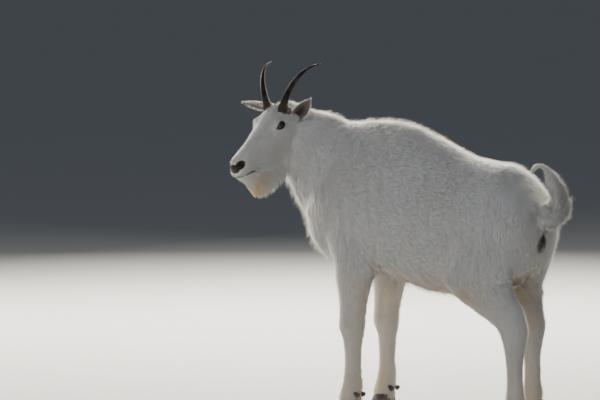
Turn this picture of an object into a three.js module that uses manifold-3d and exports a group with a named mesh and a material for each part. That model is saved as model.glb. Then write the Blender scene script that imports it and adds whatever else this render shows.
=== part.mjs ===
import * as THREE from 'three';
import { mergeVertices } from 'three/addons/utils/BufferGeometryUtils.js';
import Module from 'manifold-3d';

// A mountain goat nanny, life size, standing square with her head turned to her left.
// Millimetres. She is modelled facing -Y with her left at +X, up is +Z and the floor is z = 0.
// The outlines include the coat. At the end the whole model is moved so that the middle of its
// box, seen from above, is the origin.

const wasm = await Module();
wasm.setup();

const GAP = 0.3;                 // between the faces of neighbouring pieces

// Trunk
const WITHERS_HEIGHT = 878;
const CROUP_HEIGHT = 774;
const BELLY_HEIGHT = 386;
const CHEST_FRONT = -400;
const RUMP_BACK = 391;
const BARREL_HALF_WIDTH = 166;

// Head: the frame starts at the poll, with x along the face, y to her left and z off the brow
const POLL = new THREE.Vector3(120, -458, 930);
const HEAD_TURN = THREE.MathUtils.degToRad(86);
const HEAD_DROP = THREE.MathUtils.degToRad(32);
const FACE_LENGTH = 288;
const EYE_RADIUS = 14.5;
const HORN_LENGTH = 190;
const HORN_BASE_RADIUS = 11.5;
const HORN_COLLAR = 3.5;          // by which the foot of a horn flares
const EAR_LENGTH = 104;

// Legs
const ELBOW_CUT = 396;           // level at which a foreleg is parted from the trunk
const STIFLE_CUT = 344;          // and a hind leg, just under the belly's locks
const HOOF_HEIGHT = 46;
const HOOF_LENGTH = 74;
const HOOF_WIDTH = 27;           // one toe
const STANCE_FRONT = 88;         // from the middle line to the middle of a leg
const STANCE_HIND = 86;
const HIND_STEP = 52;            // the right hind foot stands this much ahead of the left

const { PI, abs, cos, sign, sin } = Math;
const vec = (x, y, z) => new THREE.Vector3(x, y, z);

// A repeatable draw of numbers from 0 to 1
function makeDraw(seed) {
  let state = seed;
  return () => {
    state = (state + 0x6d2b79f5) | 0;
    let t = Math.imul(state ^ (state >>> 15), 1 | state);
    t = (t + Math.imul(t ^ (t >>> 7), 61 | t)) ^ t;
    return ((t ^ (t >>> 14)) >>> 0) / 4294967296;
  };
}

// Rows of numbers or vectors are smoothed by a Catmull-Rom curve through each column
function blendFour(a, b, c, d, t) {
  const t2 = t * t;
  const t3 = t2 * t;
  return 0.5 * (2 * b + (c - a) * t + (2 * a - 5 * b + 4 * c - d) * t2 + (3 * (b - c) + d - a) * t3);
}

function smoothRows(rows, steps) {
  const fine = [];
  const last = rows.length - 1;
  for (let i = 0; i < last; i += 1) {
    const four = [rows[Math.max(i - 1, 0)], rows[i], rows[i + 1], rows[Math.min(i + 2, last)]];
    for (let k = 0; k < steps; k += 1) {
      const row = {};
      for (const key of Object.keys(rows[i])) {
        const column = four.map((entry) => entry[key]);
        row[key] = blendFour(...column, k / steps);
      }
      fine.push(row);
    }
  }
  fine.push(rows[last]);
  return fine;
}

// One closed ring: half the width, the heights above and below its centre, and how square it is
function ring(centre, side, up, shape, points) {
  const { half, above, below, square = 1, squareBelow = square } = shape;
  const list = [];
  for (let k = 0; k < points; k += 1) {
    const angle = (2 * PI * (k + 0.5)) / points;
    const c = cos(angle);
    const s = sin(angle);
    const power = s > 0 ? square : squareBelow;
    const across = half * sign(c) * abs(c) ** power;
    const rise = (s > 0 ? above : below) * sign(s) * abs(s) ** power;
    list.push(centre.clone().addScaledVector(side, across).addScaledVector(up, rise));
  }
  return list;
}

const middleOf = (list) => list.reduce((sum, p) => sum.add(p), vec(0, 0, 0)).divideScalar(list.length);

// A closed skin over rings of equal count, with a fan at both ends, the last one drawn out to a tip
function loftGeometry(rings, tip = middleOf(rings.at(-1))) {
  const count = rings[0].length;
  const positions = [];
  const triangles = [];
  rings.flat().forEach((p) => positions.push(p.x, p.y, p.z));
  const firstCap = rings.length * count;
  [middleOf(rings[0]), tip].forEach((p) => positions.push(p.x, p.y, p.z));
  for (let k = 0; k < count; k += 1) {
    const next = (k + 1) % count;
    triangles.push(firstCap, next, k);
    const base = (rings.length - 1) * count;
    triangles.push(firstCap + 1, base + k, base + next);
    for (let r = 0; r + 1 < rings.length; r += 1) {
      const a = r * count + k;
      const b = r * count + next;
      triangles.push(a, b, a + count);
      triangles.push(b, b + count, a + count);
    }
  }
  const geometry = new THREE.BufferGeometry();
  geometry.setAttribute('position', new THREE.Float32BufferAttribute(positions, 3));
  geometry.setIndex(triangles);
  return geometry;
}

// Closed geometry as a solid that can be joined and cut, turned right side out
function toSolid(source) {
  let geometry = source.clone();
  geometry.deleteAttribute('normal');
  geometry.deleteAttribute('uv');
  geometry = mergeVertices(geometry, 1e-4);
  const vertProperties = new Float32Array(geometry.attributes.position.array);
  const triVerts = new Uint32Array(geometry.index.array);
  const solid = new wasm.Manifold(new wasm.Mesh({ numProp: 3, vertProperties, triVerts }));
  if (solid.volume() > 0) return solid;
  return new wasm.Manifold(new wasm.Mesh({ numProp: 3, vertProperties, triVerts: triVerts.reverse() }));
}

const loft = (rings, tip) => toSolid(loftGeometry(rings, tip));

function toGeometry(solid) {
  const largest = solid.decompose().sort((a, b) => b.volume() - a.volume())[0];
  const mesh = largest.getMesh();
  const geometry = new THREE.BufferGeometry();
  const positions = [];
  for (let i = 0; i < mesh.numVert; i += 1) {
    positions.push(...mesh.vertProperties.slice(i * mesh.numProp, i * mesh.numProp + 3));
  }
  geometry.setAttribute('position', new THREE.Float32BufferAttribute(positions, 3));
  geometry.setIndex(Array.from(mesh.triVerts));
  return geometry;
}

function cut(solid, point, normal) {
  const n = normal.clone().normalize();
  const offset = n.dot(point);
  return {
    ahead: solid.trimByPlane([n.x, n.y, n.z], offset + GAP / 2),
    behind: solid.trimByPlane([-n.x, -n.y, -n.z], GAP / 2 - offset),
  };
}

function boxSolid(low, high) {
  const size = high.clone().sub(low);
  const geometry = new THREE.BoxGeometry(size.x, size.y, size.z);
  geometry.translate(...low.clone().add(high).multiplyScalar(0.5));
  return toSolid(geometry);
}

function placed(geometry, axes, centre) {
  geometry.applyMatrix4(new THREE.Matrix4().makeBasis(...axes).setPosition(centre));
  return toSolid(geometry);
}

function ballSolid(centre, radii, axes, columns = 14, rows = 9) {
  const geometry = new THREE.SphereGeometry(1, columns, rows);
  geometry.scale(radii.x, radii.y, radii.z);
  return placed(geometry, axes, centre);
}

const joinAll = (solids) => solids.reduce((sum, piece) => sum.add(piece));

const RING_STEPS = 2;             // rings for each station of a loft

// A place on a lofted form: along in stations, around from 0 at its left over 0.25 at its top
function spotOn(rings, along, around) {
  const count = rings[0].length;
  const row = Math.min(Math.floor(along * RING_STEPS), rings.length - 2);
  const onRow = (list, turns) => {
    const k = turns * count - 0.5 + count;
    const first = Math.floor(k);
    return list[first % count].clone().lerp(list[(first + 1) % count], k - first);
  };
  const near = onRow(rings[row], around);
  const far = onRow(rings[row + 1], around);
  const beside = onRow(rings[row], around + 1 / count);
  const at = near.clone().lerp(far, along * RING_STEPS - row);
  const ahead = far.clone().sub(near).normalize();
  const outward = beside.sub(near).cross(ahead).normalize();
  if (outward.dot(at.clone().sub(middleOf(rings[row]))) < 0) outward.negate();
  return { at, outward, ahead };
}

// A lock of the coat: flat, widest near its middle, drawn to a tip, bent back towards the coat
const LOCK_SINK = 9;
const lockProfile = [
  { along: 0.06, wide: 0.7, thick: 1 },
  { along: 0.4, wide: 1, thick: 0.85 },
  { along: 0.75, wide: 0.62, thick: 0.5 },
];

function makeLock({ at, outward, ahead }, lie, size, draw) {
  const { width, thick, curl } = size;
  const length = size.length * (0.82 + 0.36 * draw());
  const flow = (lie ?? ahead).clone().normalize();
  const rise = flow.dot(outward);
  const lift = Math.max(Math.asin(rise), size.lift);
  const flat = flow.addScaledVector(outward, -rise).normalize();
  const aside = outward.clone().cross(flat);
  flat.addScaledVector(aside, 0.36 * (draw() - 0.5)).normalize();
  const start = flat.clone().multiplyScalar(cos(lift)).addScaledVector(outward, sin(lift));
  const face = outward.clone().multiplyScalar(cos(lift)).addScaledVector(flat, -sin(lift));
  const side = start.clone().cross(face);
  const broad = width * (0.86 + 0.28 * draw());
  const spine = (t) => at.clone().addScaledVector(start, length * t)
    .addScaledVector(face, -curl * length * t * t);
  const root = at.clone().addScaledVector(outward, -LOCK_SINK);
  const rings = lockProfile.map((row, i) => {
    const middle = i ? spine(row.along) : root;
    const across = (broad / 2) * row.wide;
    const deep = (thick / 2) * row.thick;
    return [[side, across], [face, deep], [side, -across], [face, -deep]]
      .map(([direction, reach]) => middle.clone().addScaledVector(direction, reach));
  });
  return loft(rings, spine(1));
}

// Rows of locks over a lofted form, every second column half a step further along
function lockRows({ skin, from, to, count, around, lie, size }, draw) {
  const locks = [];
  for (let i = 0; i < count; i += 1) {
    around.forEach((turns, column) => {
      const shift = 0.5 + 0.5 * (column % 2) + 0.3 * (draw() - 0.5);
      const along = from + ((to - from) * (i + shift)) / (count + 0.5);
      locks.push(makeLock(spotOn(skin, along, turns + 0.012 * (draw() - 0.5)), lie, lockSizes[size], draw));
    });
  }
  return locks;
}

// Trunk: rings across the body, with the level of the greatest width
const trunkStations = [
  { y: CHEST_FRONT, top: 700, bottom: 560, half: 50, wide: 628, square: 1 },
  { y: -380, top: 770, bottom: 505, half: 96, wide: 625, square: 1 },
  { y: -330, top: 854, bottom: 466, half: 128, wide: 620, square: 1 },
  { y: -250, top: 870, bottom: 446, half: 146, wide: 615, square: 1.05 },
  { y: -160, top: WITHERS_HEIGHT, bottom: 436, half: 154, wide: 605, square: 1.12 },
  { y: -60, top: 867, bottom: 408, half: 161, wide: 590, square: 1.08 },
  { y: 40, top: 830, bottom: BELLY_HEIGHT, half: BARREL_HALF_WIDTH, wide: 570, square: 1 },
  { y: 130, top: 792, bottom: 388, half: 164, wide: 570, square: 0.98 },
  { y: 210, top: 776, bottom: 404, half: 158, wide: 585, square: 0.97 },
  { y: 290, top: CROUP_HEIGHT - 8, bottom: 436, half: 152, wide: 600, square: 0.96 },
  { y: 345, top: 716, bottom: 462, half: 138, wide: 606, square: 0.95 },
  { y: 372, top: 678, bottom: 488, half: 118, wide: 606, square: 0.92 },
  { y: 386, top: 656, bottom: 520, half: 88, wide: 606, square: 0.9 },
  { y: RUMP_BACK, top: 642, bottom: 556, half: 48, wide: 606, square: 0.9 },
];

function trunkRings(stations, grow) {
  return smoothRows(stations, RING_STEPS).map((s) => ring(
    vec(0, s.y, s.wide),
    vec(1, 0, 0),
    vec(0, 0, 1),
    {
      half: s.half + grow,
      above: s.top - s.wide + grow,
      below: s.wide - s.bottom + grow,
      square: s.square,
      squareBelow: 0.92,
    },
    22,
  ));
}

// Neck: rings square to a path that rises and bends to her left
const neckStations = [
  { x: 0, y: -262, z: 676, half: 128, above: 182, below: 182, side: 0 },
  { x: 4, y: -322, z: 722, half: 118, above: 168, below: 168, side: 0.05 },
  { x: 24, y: -378, z: 772, half: 100, above: 132, below: 130, side: 0.3 },
  { x: 54, y: -420, z: 822, half: 84, above: 108, below: 103, side: 0.7 },
  { x: 84, y: -447, z: 868, half: 62, above: 66, below: 88, side: 1.1 },
];

function neckRings(stations, grow) {
  const fine = smoothRows(stations, RING_STEPS);
  return fine.map((s, i) => {
    const before = fine[Math.max(i - 1, 0)];
    const after = fine[Math.min(i + 1, fine.length - 1)];
    const ahead = vec(after.x - before.x, after.y - before.y, after.z - before.z).normalize();
    const level = vec(cos(s.side), sin(s.side), 0);
    const up = level.clone().cross(ahead).normalize().negate();
    const across = up.clone().cross(ahead).normalize();
    const shape = { half: s.half + grow, above: s.above + grow, below: s.below + grow, square: 1 };
    return ring(vec(s.x, s.y, s.z), across, up, shape, 20);
  });
}

// Head frame
const turned = HEAD_TURN - PI / 2;
const faceLevel = vec(cos(turned), sin(turned), 0);
const headLeft = vec(0, 0, 1).cross(faceLevel);
const faceAhead = faceLevel.clone().multiplyScalar(cos(HEAD_DROP)).add(vec(0, 0, -sin(HEAD_DROP)));
const headUp = faceAhead.clone().cross(headLeft);
const headAxes = [faceAhead, headLeft, headUp];

function inHead(x, y, z) {
  return POLL.clone().addScaledVector(faceAhead, x).addScaledVector(headLeft, y).addScaledVector(headUp, z);
}

const headDirection = (x, y, z) => inHead(x, y, z).sub(POLL).normalize();

const headStations = [
  { x: -52, top: -44, bottom: -112, half: 40, wide: -70, square: 1 },
  { x: -34, top: -35, bottom: -136, half: 56, wide: -68, square: 1 },
  { x: 0, top: -12, bottom: -152, half: 60, wide: -64, square: 0.9 },
  { x: 36, top: 4, bottom: -160, half: 58, wide: -60, square: 0.82 },
  { x: 68, top: 4, bottom: -160, half: 55, wide: -56, square: 0.8 },
  { x: 100, top: -4, bottom: -152, half: 50, wide: -54, square: 0.82 },
  { x: 140, top: -11, bottom: -140, half: 43, wide: -60, square: 0.86 },
  { x: 180, top: -15, bottom: -126, half: 36, wide: -66, square: 0.9 },
  { x: 220, top: -18, bottom: -114, half: 33, wide: -66, square: 0.9 },
  { x: 252, top: -20, bottom: -106, half: 31, wide: -64, square: 0.88 },
  { x: 270, top: -23, bottom: -98, half: 28, wide: -60, square: 0.88 },
  { x: FACE_LENGTH - 6, top: -31, bottom: -86, half: 22, wide: -58, square: 0.88 },
  { x: FACE_LENGTH, top: -42, bottom: -74, half: 12, wide: -58, square: 0.9 },
];

function headRings(stations, grow) {
  return smoothRows(stations, RING_STEPS).map((s) => ring(
    inHead(s.x, 0, s.wide),
    headLeft,
    headUp,
    {
      half: s.half + grow,
      above: s.top - s.wide + grow,
      below: s.wide - s.bottom + grow,
      square: s.square,
      squareBelow: 1.05,
    },
    18,
  ));
}

// Horn: a slim cone bent back and a little out, tighter towards the tip
const HORN_FOOT = { x: 33, y: 31, z: 2 };
const HORN_LEAN_BACK = THREE.MathUtils.degToRad(24);
const HORN_LEAN_OUT = THREE.MathUtils.degToRad(19.5);
const HORN_BEND_OUT = THREE.MathUtils.degToRad(20);
const HORN_CURL_START = 0.0056;  // radians per millimetre at the foot
const HORN_CURL_GAIN = 0.0047;   // added by the tip

function hornPath(flip, steps) {
  const start = vec(-sin(HORN_LEAN_BACK), flip * sin(HORN_LEAN_OUT), 0);
  start.z = Math.sqrt(1 - start.lengthSq());
  const bend = vec(-cos(HORN_BEND_OUT), flip * sin(HORN_BEND_OUT), 0);
  bend.addScaledVector(start, -bend.dot(start)).normalize();
  const spine = [{ at: vec(HORN_FOOT.x, flip * HORN_FOOT.y, HORN_FOOT.z), ahead: start.clone() }];
  let angle = 0;
  const step = HORN_LENGTH / steps;
  for (let i = 0; i < steps; i += 1) {
    angle += (HORN_CURL_START + HORN_CURL_GAIN * ((i + 0.5) / steps)) * step;
    const ahead = start.clone().multiplyScalar(cos(angle)).addScaledVector(bend, sin(angle));
    spine.push({ at: spine[i].at.clone().addScaledVector(ahead, step), ahead });
  }
  return spine;
}

function makeHorn(flip) {
  const steps = 11;
  const spine = hornPath(flip, steps);
  const sunk = { at: spine[0].at.clone().addScaledVector(spine[0].ahead, -24), ahead: spine[0].ahead };
  const rings = [sunk, ...spine].map(({ at, ahead }, i) => {
    const along = Math.max(i - 1, 0) / steps;
    const radius = HORN_BASE_RADIUS * (1 - along) ** 0.95 + HORN_COLLAR * (1 - along) ** 24 + 0.8;
    const across = headLeft.clone();
    const aheadWorld = headDirection(ahead.x, ahead.y, ahead.z);
    const fore = across.cross(aheadWorld).normalize();
    const side = aheadWorld.clone().cross(fore).normalize();
    const shape = { half: radius * 0.92, above: radius * 1.08, below: radius * 1.08 };
    return ring(inHead(at.x, at.y, at.z), side, fore, shape, 10);
  });
  return loft(rings);
}

// Ear: a leaf whose cross-section is a shallow cup
const EAR_WIDTH = 40;
const EAR_WALL = 6;

function makeEar(foot, towards, opening) {
  const ahead = headDirection(...towards);
  const openTo = headDirection(...opening);
  openTo.addScaledVector(ahead, -openTo.dot(ahead)).normalize();
  const side = openTo.clone().cross(ahead).normalize();
  const steps = 9;
  const arc = 7;
  const rings = [];
  for (let i = 0; i <= steps; i += 1) {
    const along = i / steps;
    const leaf = sin(PI * Math.min(0.18 + 0.86 * along, 1)) ** 0.75;
    const half = Math.max((EAR_WIDTH / 2) * leaf, 2.5);
    const deep = Math.max(17 * (1 - along) ** 0.6, 3.5);
    const wall = EAR_WALL * (1 - 0.45 * along) + 6 * Math.max(0, 0.25 - along);
    const centre = inHead(...foot).addScaledVector(ahead, EAR_LENGTH * along - 8)
      .addScaledVector(openTo, -6 * along * along);
    const list = [];
    for (let k = 0; k < arc; k += 1) {
      const angle = PI * (k / (arc - 1) - 0.5);
      list.push(centre.clone().addScaledVector(side, half * sin(angle))
        .addScaledVector(openTo, -deep * cos(angle)));
    }
    for (let k = arc - 2; k > 0; k -= 1) {
      const angle = PI * (k / (arc - 1) - 0.5);
      const inner = Math.max(deep - wall, deep * 0.12);
      list.push(centre.clone().addScaledVector(side, (half - wall * 0.4) * sin(angle))
        .addScaledVector(openTo, -inner * cos(angle)));
    }
    rings.push(list);
  }
  return loft(rings);
}

// Legs: level rings from the shoulder or haunch down to the hoof
const foreStations = [
  { z: 650, y: -238, long: 92, half: 50, out: -14 },
  { z: 560, y: -230, long: 90, half: 56, out: -6 },
  { z: 480, y: -216, long: 68, half: 50, out: 0 },
  { z: 410, y: -214, long: 54, half: 44, out: 2 },
  { z: 350, y: -216, long: 44, half: 38, out: 2 },
  { z: 300, y: -220, long: 40, half: 36, out: 0 },
  { z: 265, y: -222, long: 40, half: 37, out: 0 },
  { z: 225, y: -220, long: 34, half: 31, out: 0 },
  { z: 150, y: -219, long: 30, half: 28, out: 0 },
  { z: 100, y: -221, long: 34, half: 31, out: 0 },
  { z: 74, y: -226, long: 33, half: 30, out: 0 },
  { z: HOOF_HEIGHT + GAP, y: -231, long: 37, half: 32, out: 0 },
];

const hindStations = [
  { z: 660, y: 268, long: 100, half: 60, out: -16, step: 0 },
  { z: 580, y: 260, long: 118, half: 70, out: -4, step: -0.1 },
  { z: 500, y: 238, long: 120, half: 68, out: 4, step: -0.05 },
  { z: 435, y: 226, long: 106, half: 62, out: 8, step: 0 },
  { z: 385, y: 264, long: 98, half: 53, out: 7, step: 0.75 },
  { z: 345, y: 306, long: 78, half: 44, out: 3, step: 1 },
  { z: 305, y: 345, long: 54, half: 38, out: 0, step: 1 },
  { z: 268, y: 354, long: 39, half: 33, out: 0, step: 1 },
  { z: 205, y: 357, long: 31, half: 28, out: 0, step: 1 },
  { z: 145, y: 359, long: 29, half: 27, out: 0, step: 1 },
  { z: 100, y: 360, long: 33, half: 30, out: 1, step: 1 },
  { z: 74, y: 355, long: 32, half: 29, out: 1, step: 1 },
  { z: HOOF_HEIGHT + GAP, y: 350, long: 36, half: 31, out: 2, step: 1 },
];

function legRings(stations, flip, stance, stepAhead, grow) {
  return smoothRows(stations, RING_STEPS).map((s) => ring(
    vec(flip * (stance + s.out), s.y - stepAhead * (s.step ?? 0), s.z),
    vec(1, 0, 0),
    vec(0, 1, 0),
    { half: s.half + grow, above: s.long + grow, below: s.long + grow, square: 0.96 },
    12,
  ));
}

// One toe of a hoof, flat below, pointed ahead and sloped at the front
function makeToe(x, y, flip) {
  const levels = [
    { z: 0, reach: 1, wide: 1 },
    { z: 8, reach: 0.99, wide: 1.02 },
    { z: 26, reach: 0.8, wide: 0.97 },
    { z: HOOF_HEIGHT, reach: 0.56, wide: 0.88 },
  ];
  const rings = levels.map(({ z, reach, wide }) => {
    const list = [];
    const points = 10;
    for (let k = 0; k < points; k += 1) {
      const angle = (2 * PI * k) / points;
      const along = -cos(angle);
      const taper = along < 0 ? 1 - 0.45 * along * along : 1;
      const across = (HOOF_WIDTH / 2) * wide * sin(angle) * taper;
      const ahead = along < 0 ? HOOF_LENGTH * 0.56 * reach * along : HOOF_LENGTH * 0.44 * along;
      list.push(vec(x + across - flip * 3 * Math.max(0, -along), y + ahead, z));
    }
    return list;
  });
  return loft(rings);
}

function makeDewclaw(x, y, z) {
  const geometry = new THREE.ConeGeometry(9, 26, 8);
  geometry.rotateX(PI * 0.83);
  geometry.translate(x, y, z);
  return toSolid(geometry);
}

// Tail: raised off the rump, arched, with the tip curled forward
const tailStations = [
  { y: 350, z: 636, half: 26, thick: 32 },
  { y: 396, z: 630, half: 27, thick: 34 },
  { y: 440, z: 644, half: 27, thick: 36 },
  { y: 445, z: 684, half: 22, thick: 24 },
  { y: 431, z: 720, half: 15, thick: 12 },
  { y: 416, z: 746, half: 9, thick: 6.5 },
  { y: 400, z: 763, half: 7, thick: 5.5 },
  { y: 382, z: 768, half: 5.5, thick: 4.5 },
  { y: 365, z: 761, half: 4.5, thick: 3.5 },
  { y: 358, z: 750, half: 3, thick: 2.5 },
];

function tailRings(stations, grow) {
  const fine = smoothRows(stations, RING_STEPS);
  return fine.map((s, i) => {
    const before = fine[Math.max(i - 1, 0)];
    const after = fine[Math.min(i + 1, fine.length - 1)];
    const ahead = vec(0, after.y - before.y, after.z - before.z).normalize();
    const up = vec(1, 0, 0).cross(ahead);
    const shape = { half: s.half + grow, above: s.thick + grow, below: s.thick + grow };
    return ring(vec(0, s.y, s.z), vec(1, 0, 0), up, shape, 12);
  });
}

// Beard: hangs from the chin and, shorter, along the jaw to the throat
const hangDown = headDirection(0.42, 0, -0.907);
const beardStations = [
  { x: 262, z: -92, drop: 14, half: 10 },
  { x: 246, z: -96, drop: 26, half: 18 },
  { x: 222, z: -104, drop: 37, half: 22 },
  { x: 190, z: -114, drop: 45, half: 22 },
  { x: 155, z: -128, drop: 43, half: 20 },
  { x: 120, z: -142, drop: 38, half: 17 },
  { x: 88, z: -152, drop: 28, half: 13 },
];

function beardRings() {
  return smoothRows(beardStations, RING_STEPS).map((s) => ring(
    inHead(s.x, 0, s.z),
    headLeft,
    hangDown,
    { half: s.half, above: s.drop, below: 20 },
    12,
  ));
}

// Face: lids round the eyes, lips and chin, the nostrils and the mouth
const EYE = { x: 85, y: 41, z: -26 };
const LID_THICKNESS = 3.2;
const EYE_OPENING = { long: 16, above: 11, below: 8.5 };
const MOUTH_LINE = [[296, -75], [278, -78], [258, -80], [240, -85], [225, -94]];
const MOUTH_OPENING = 2.6;
const MOUTH_DEPTH = 5;

function eyeFrame(flip) {
  const outward = headDirection(0.3, flip * 0.94, 0.12);
  const up = headUp.clone().addScaledVector(outward, -headUp.dot(outward)).normalize();
  const along = outward.clone().cross(up).multiplyScalar(flip);
  return { centre: inHead(EYE.x, flip * EYE.y, EYE.z), axes: [along, up, outward] };
}

function almondPrism({ centre, axes }) {
  const { long, above, below } = EYE_OPENING;
  const outline = new THREE.Shape();
  outline.moveTo(-long, 0);
  outline.quadraticCurveTo(-long * 0.2, above * 2, long, -2);
  outline.quadraticCurveTo(0, -below * 2, -long, 0);
  const depth = EYE_RADIUS * 2;
  const prism = new THREE.ExtrudeGeometry(outline, { depth, bevelEnabled: false, curveSegments: 6 });
  return placed(prism, axes, centre);
}

function mouthGroove() {
  const outline = new THREE.Shape();
  const edge = (k) => (MOUTH_OPENING / 2) * (1 - 0.5 * (k / (MOUTH_LINE.length - 1)));
  MOUTH_LINE.forEach(([x, z], k) => (k ? outline.lineTo(x, z + edge(k)) : outline.moveTo(x, z + edge(k))));
  [...MOUTH_LINE].reverse().forEach(([x, z], k) => outline.lineTo(x, z - edge(MOUTH_LINE.length - 1 - k)));
  const across = 100;
  const geometry = new THREE.ExtrudeGeometry(outline, { depth: across, bevelEnabled: false });
  geometry.translate(0, 0, -across / 2);
  const core = loft(headRings(headStations, -MOUTH_DEPTH));
  return placed(geometry, [faceAhead, headUp, headLeft], POLL).subtract(core);
}

function headBall(place, radii, tilt = 0) {
  const ahead = headDirection(cos(tilt), 0, sin(tilt));
  const up = headDirection(-sin(tilt), 0, cos(tilt));
  return ballSolid(inHead(...place), vec(...radii), [ahead, headLeft, up], 10, 7);
}

function finishHead(rough) {
  const eyeSolids = [];
  let solid = rough.add(headBall([250, 0, -97], [26, 21, 13], 0.15));
  for (const flip of [1, -1]) {
    solid = solid.add(headBall([263, flip * 11, -64], [24, 18, 16], -0.1));
    const { centre, axes } = eyeFrame(flip);
    const lids = EYE_RADIUS + LID_THICKNESS;
    solid = solid.add(ballSolid(centre, vec(lids * 1.4, lids * 1.12, lids), axes, 12, 7));
  }
  solid = solid.subtract(mouthGroove());
  for (const flip of [1, -1]) {
    const frame = eyeFrame(flip);
    const socket = EYE_RADIUS + GAP;
    solid = solid.subtract(ballSolid(frame.centre, vec(socket, socket, socket), frame.axes, 12, 8));
    solid = solid.subtract(almondPrism(frame));
    solid = solid.subtract(headBall([277, flip * 19, -43], [11, 5.5, 4.5], 0.5));
    eyeSolids.push(ballSolid(frame.centre, vec(EYE_RADIUS, EYE_RADIUS, EYE_RADIUS), frame.axes, 12, 8));
  }
  return { head: solid, eyes: eyeSolids };
}

// Udder, small and half hidden between the thighs
function makeUdder() {
  const axes = [vec(1, 0, 0), vec(0, 1, 0), vec(0, 0, 1)];
  const bag = ballSolid(vec(0, 262, 446), vec(50, 62, 46), axes, 14, 9);
  const teats = [1, -1].map((flip) => ballSolid(vec(flip * 27, 256, 404), vec(10, 10, 22), axes, 8, 6));
  return joinAll([bag, ...teats]);
}

// Locks of the coat, longest on the beard, throat, belly and tail
const lockSizes = {
  crest: { length: 54, width: 30, thick: 7, lift: 0.2, curl: 0.18 },
  beard: { length: 48, width: 27, thick: 8, lift: 0.1, curl: 0.08 },
  throat: { length: 60, width: 30, thick: 8, lift: 0.36, curl: 0.22 },
  belly: { length: 52, width: 32, thick: 7, lift: 0.34, curl: 0.16 },
  breech: { length: 54, width: 30, thick: 7, lift: 0.2, curl: 0.16 },
  arm: { length: 46, width: 24, thick: 6, lift: 0.25, curl: 0.15 },
  tail: { length: 44, width: 24, thick: 7, lift: 0.22, curl: 0.38 },
  tailTip: { length: 26, width: 13, thick: 4.5, lift: 0.12, curl: 0.1 },
};

const draw = makeDraw(41);
const trunkSkin = trunkRings(trunkStations, 0);
const neckSkin = neckRings(neckStations, 0);
const beardSkin = beardRings();
const neckBack = { skin: neckSkin, around: [0.23, 0.27], lie: vec(-0.3, 0.8, -0.4), size: 'crest' };
const withers = { skin: trunkSkin, around: [0.228, 0.272], lie: null, size: 'crest' };
const throat = { skin: neckSkin, around: [0.7, 0.75, 0.8], lie: vec(-0.1, 0.2, -1), size: 'throat' };
const brisket = { skin: trunkSkin, around: [0.7, 0.75, 0.8], lie: vec(0, 0.5, -1), size: 'throat' };
const belly = { skin: trunkSkin, around: [0.66, 0.75, 0.84], lie: vec(0, 1, -0.3), size: 'belly' };
const bodyRows = [
  { ...neckBack, from: 0.6, to: 3.4, count: 5 },
  { ...withers, from: 2.2, to: 5.4, count: 6 },
  { ...throat, from: 0.4, to: 3.3, count: 5 },
  { ...brisket, from: 0.2, to: 2.2, count: 3 },
  { ...belly, from: 4.3, to: 7.8, count: 5 },
];
const bodyLocks = bodyRows.flatMap((row) => lockRows(row, draw));

// Assembly of the body
const trunk = loft(trunkSkin);
const neckWhole = loft(neckSkin);
const legPlans = [];
for (const [flip, sideName] of [[1, 'left'], [-1, 'right']]) {
  legPlans.push({ name: `front_${sideName}`, stations: foreStations, flip, stance: STANCE_FRONT, step: 0 });
  const step = flip < 0 ? HIND_STEP : 0;
  legPlans.push({ name: `hind_${sideName}`, stations: hindStations, flip, stance: STANCE_HIND, step });
}
const legWholes = legPlans.map((plan) => {
  const skin = legRings(plan.stations, plan.flip, plan.stance, plan.step, 0);
  const row = plan.stations === hindStations
    ? { skin, from: 1.5, to: 4.6, count: 4, around: [0.18, 0.32], lie: null, size: 'breech' }
    : { skin, from: 1.8, to: 4.2, count: 3, around: [0.2, 0.3], lie: null, size: 'arm' };
  return joinAll([loft(skin), ...lockRows(row, draw)]);
});
const body = joinAll([trunk, neckWhole, makeUdder(), ...legWholes, ...bodyLocks]);

const shoulderCut = cut(body, vec(0, -296, 690), vec(0, -0.9, 0.437));
const headWhole = loft(headRings(headStations, 0));
const beardEdge = { skin: beardSkin, around: [0.04, 0.18, 0.32, 0.46], lie: hangDown, size: 'beard' };
const beardRow = { ...beardEdge, from: 0.4, to: 5.7, count: 6 };
const beard = joinAll([loft(beardSkin), ...lockRows(beardRow, draw)]);
const latchPoint = inHead(-34, 0, 0);
const latchNormal = headDirection(0.77, -0.3, 0.56);
const headCut = cut(shoulderCut.ahead.add(headWhole).add(beard), latchPoint, latchNormal);

let torso = shoulderCut.behind;
const legs = legPlans.map((plan) => {
  const hind = plan.stations === hindStations;
  const yLow = hind ? 100 : -330;
  const yHigh = hind ? 460 : -110;
  const xNear = 8;
  const low = vec(plan.flip > 0 ? xNear : -300, yLow, -20);
  const high = vec(plan.flip > 0 ? 300 : -xNear, yHigh, (hind ? STIFLE_CUT : ELBOW_CUT) - GAP);
  const leg = torso.intersect(boxSolid(low, high));
  low.addScalar(-GAP);
  high.addScalar(GAP);
  torso = torso.subtract(boxSolid(low, high));
  return leg;
});

const tailSkin = tailRings(tailStations, 0);
const tailBrush = { skin: tailSkin, around: [0.04, 0.46, 0.66, 0.84], lie: null, size: 'tail' };
const tailEnd = { skin: tailSkin, around: [0.12, 0.38, 0.75], lie: null, size: 'tailTip' };
const tailRoot = { skin: tailSkin, around: [0.68, 0.82], lie: vec(0, 0.8, -1), size: 'tailTip' };
const tailRows = [
  { ...tailBrush, from: 1.8, to: 4.6, count: 3 },
  { ...tailEnd, from: 4.2, to: 6.6, count: 2 },
  { ...tailRoot, from: 0.7, to: 2.2, count: 2 },
];
const tailLocks = tailRows.flatMap((row) => lockRows(row, draw));
const trunkGrown = loft(trunkRings(trunkStations, GAP));
const tail = joinAll([loft(tailSkin), ...tailLocks]).subtract(trunkGrown);

const headGrown = loft(headRings(headStations, GAP));
const { head, eyes } = finishHead(headCut.ahead);

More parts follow.
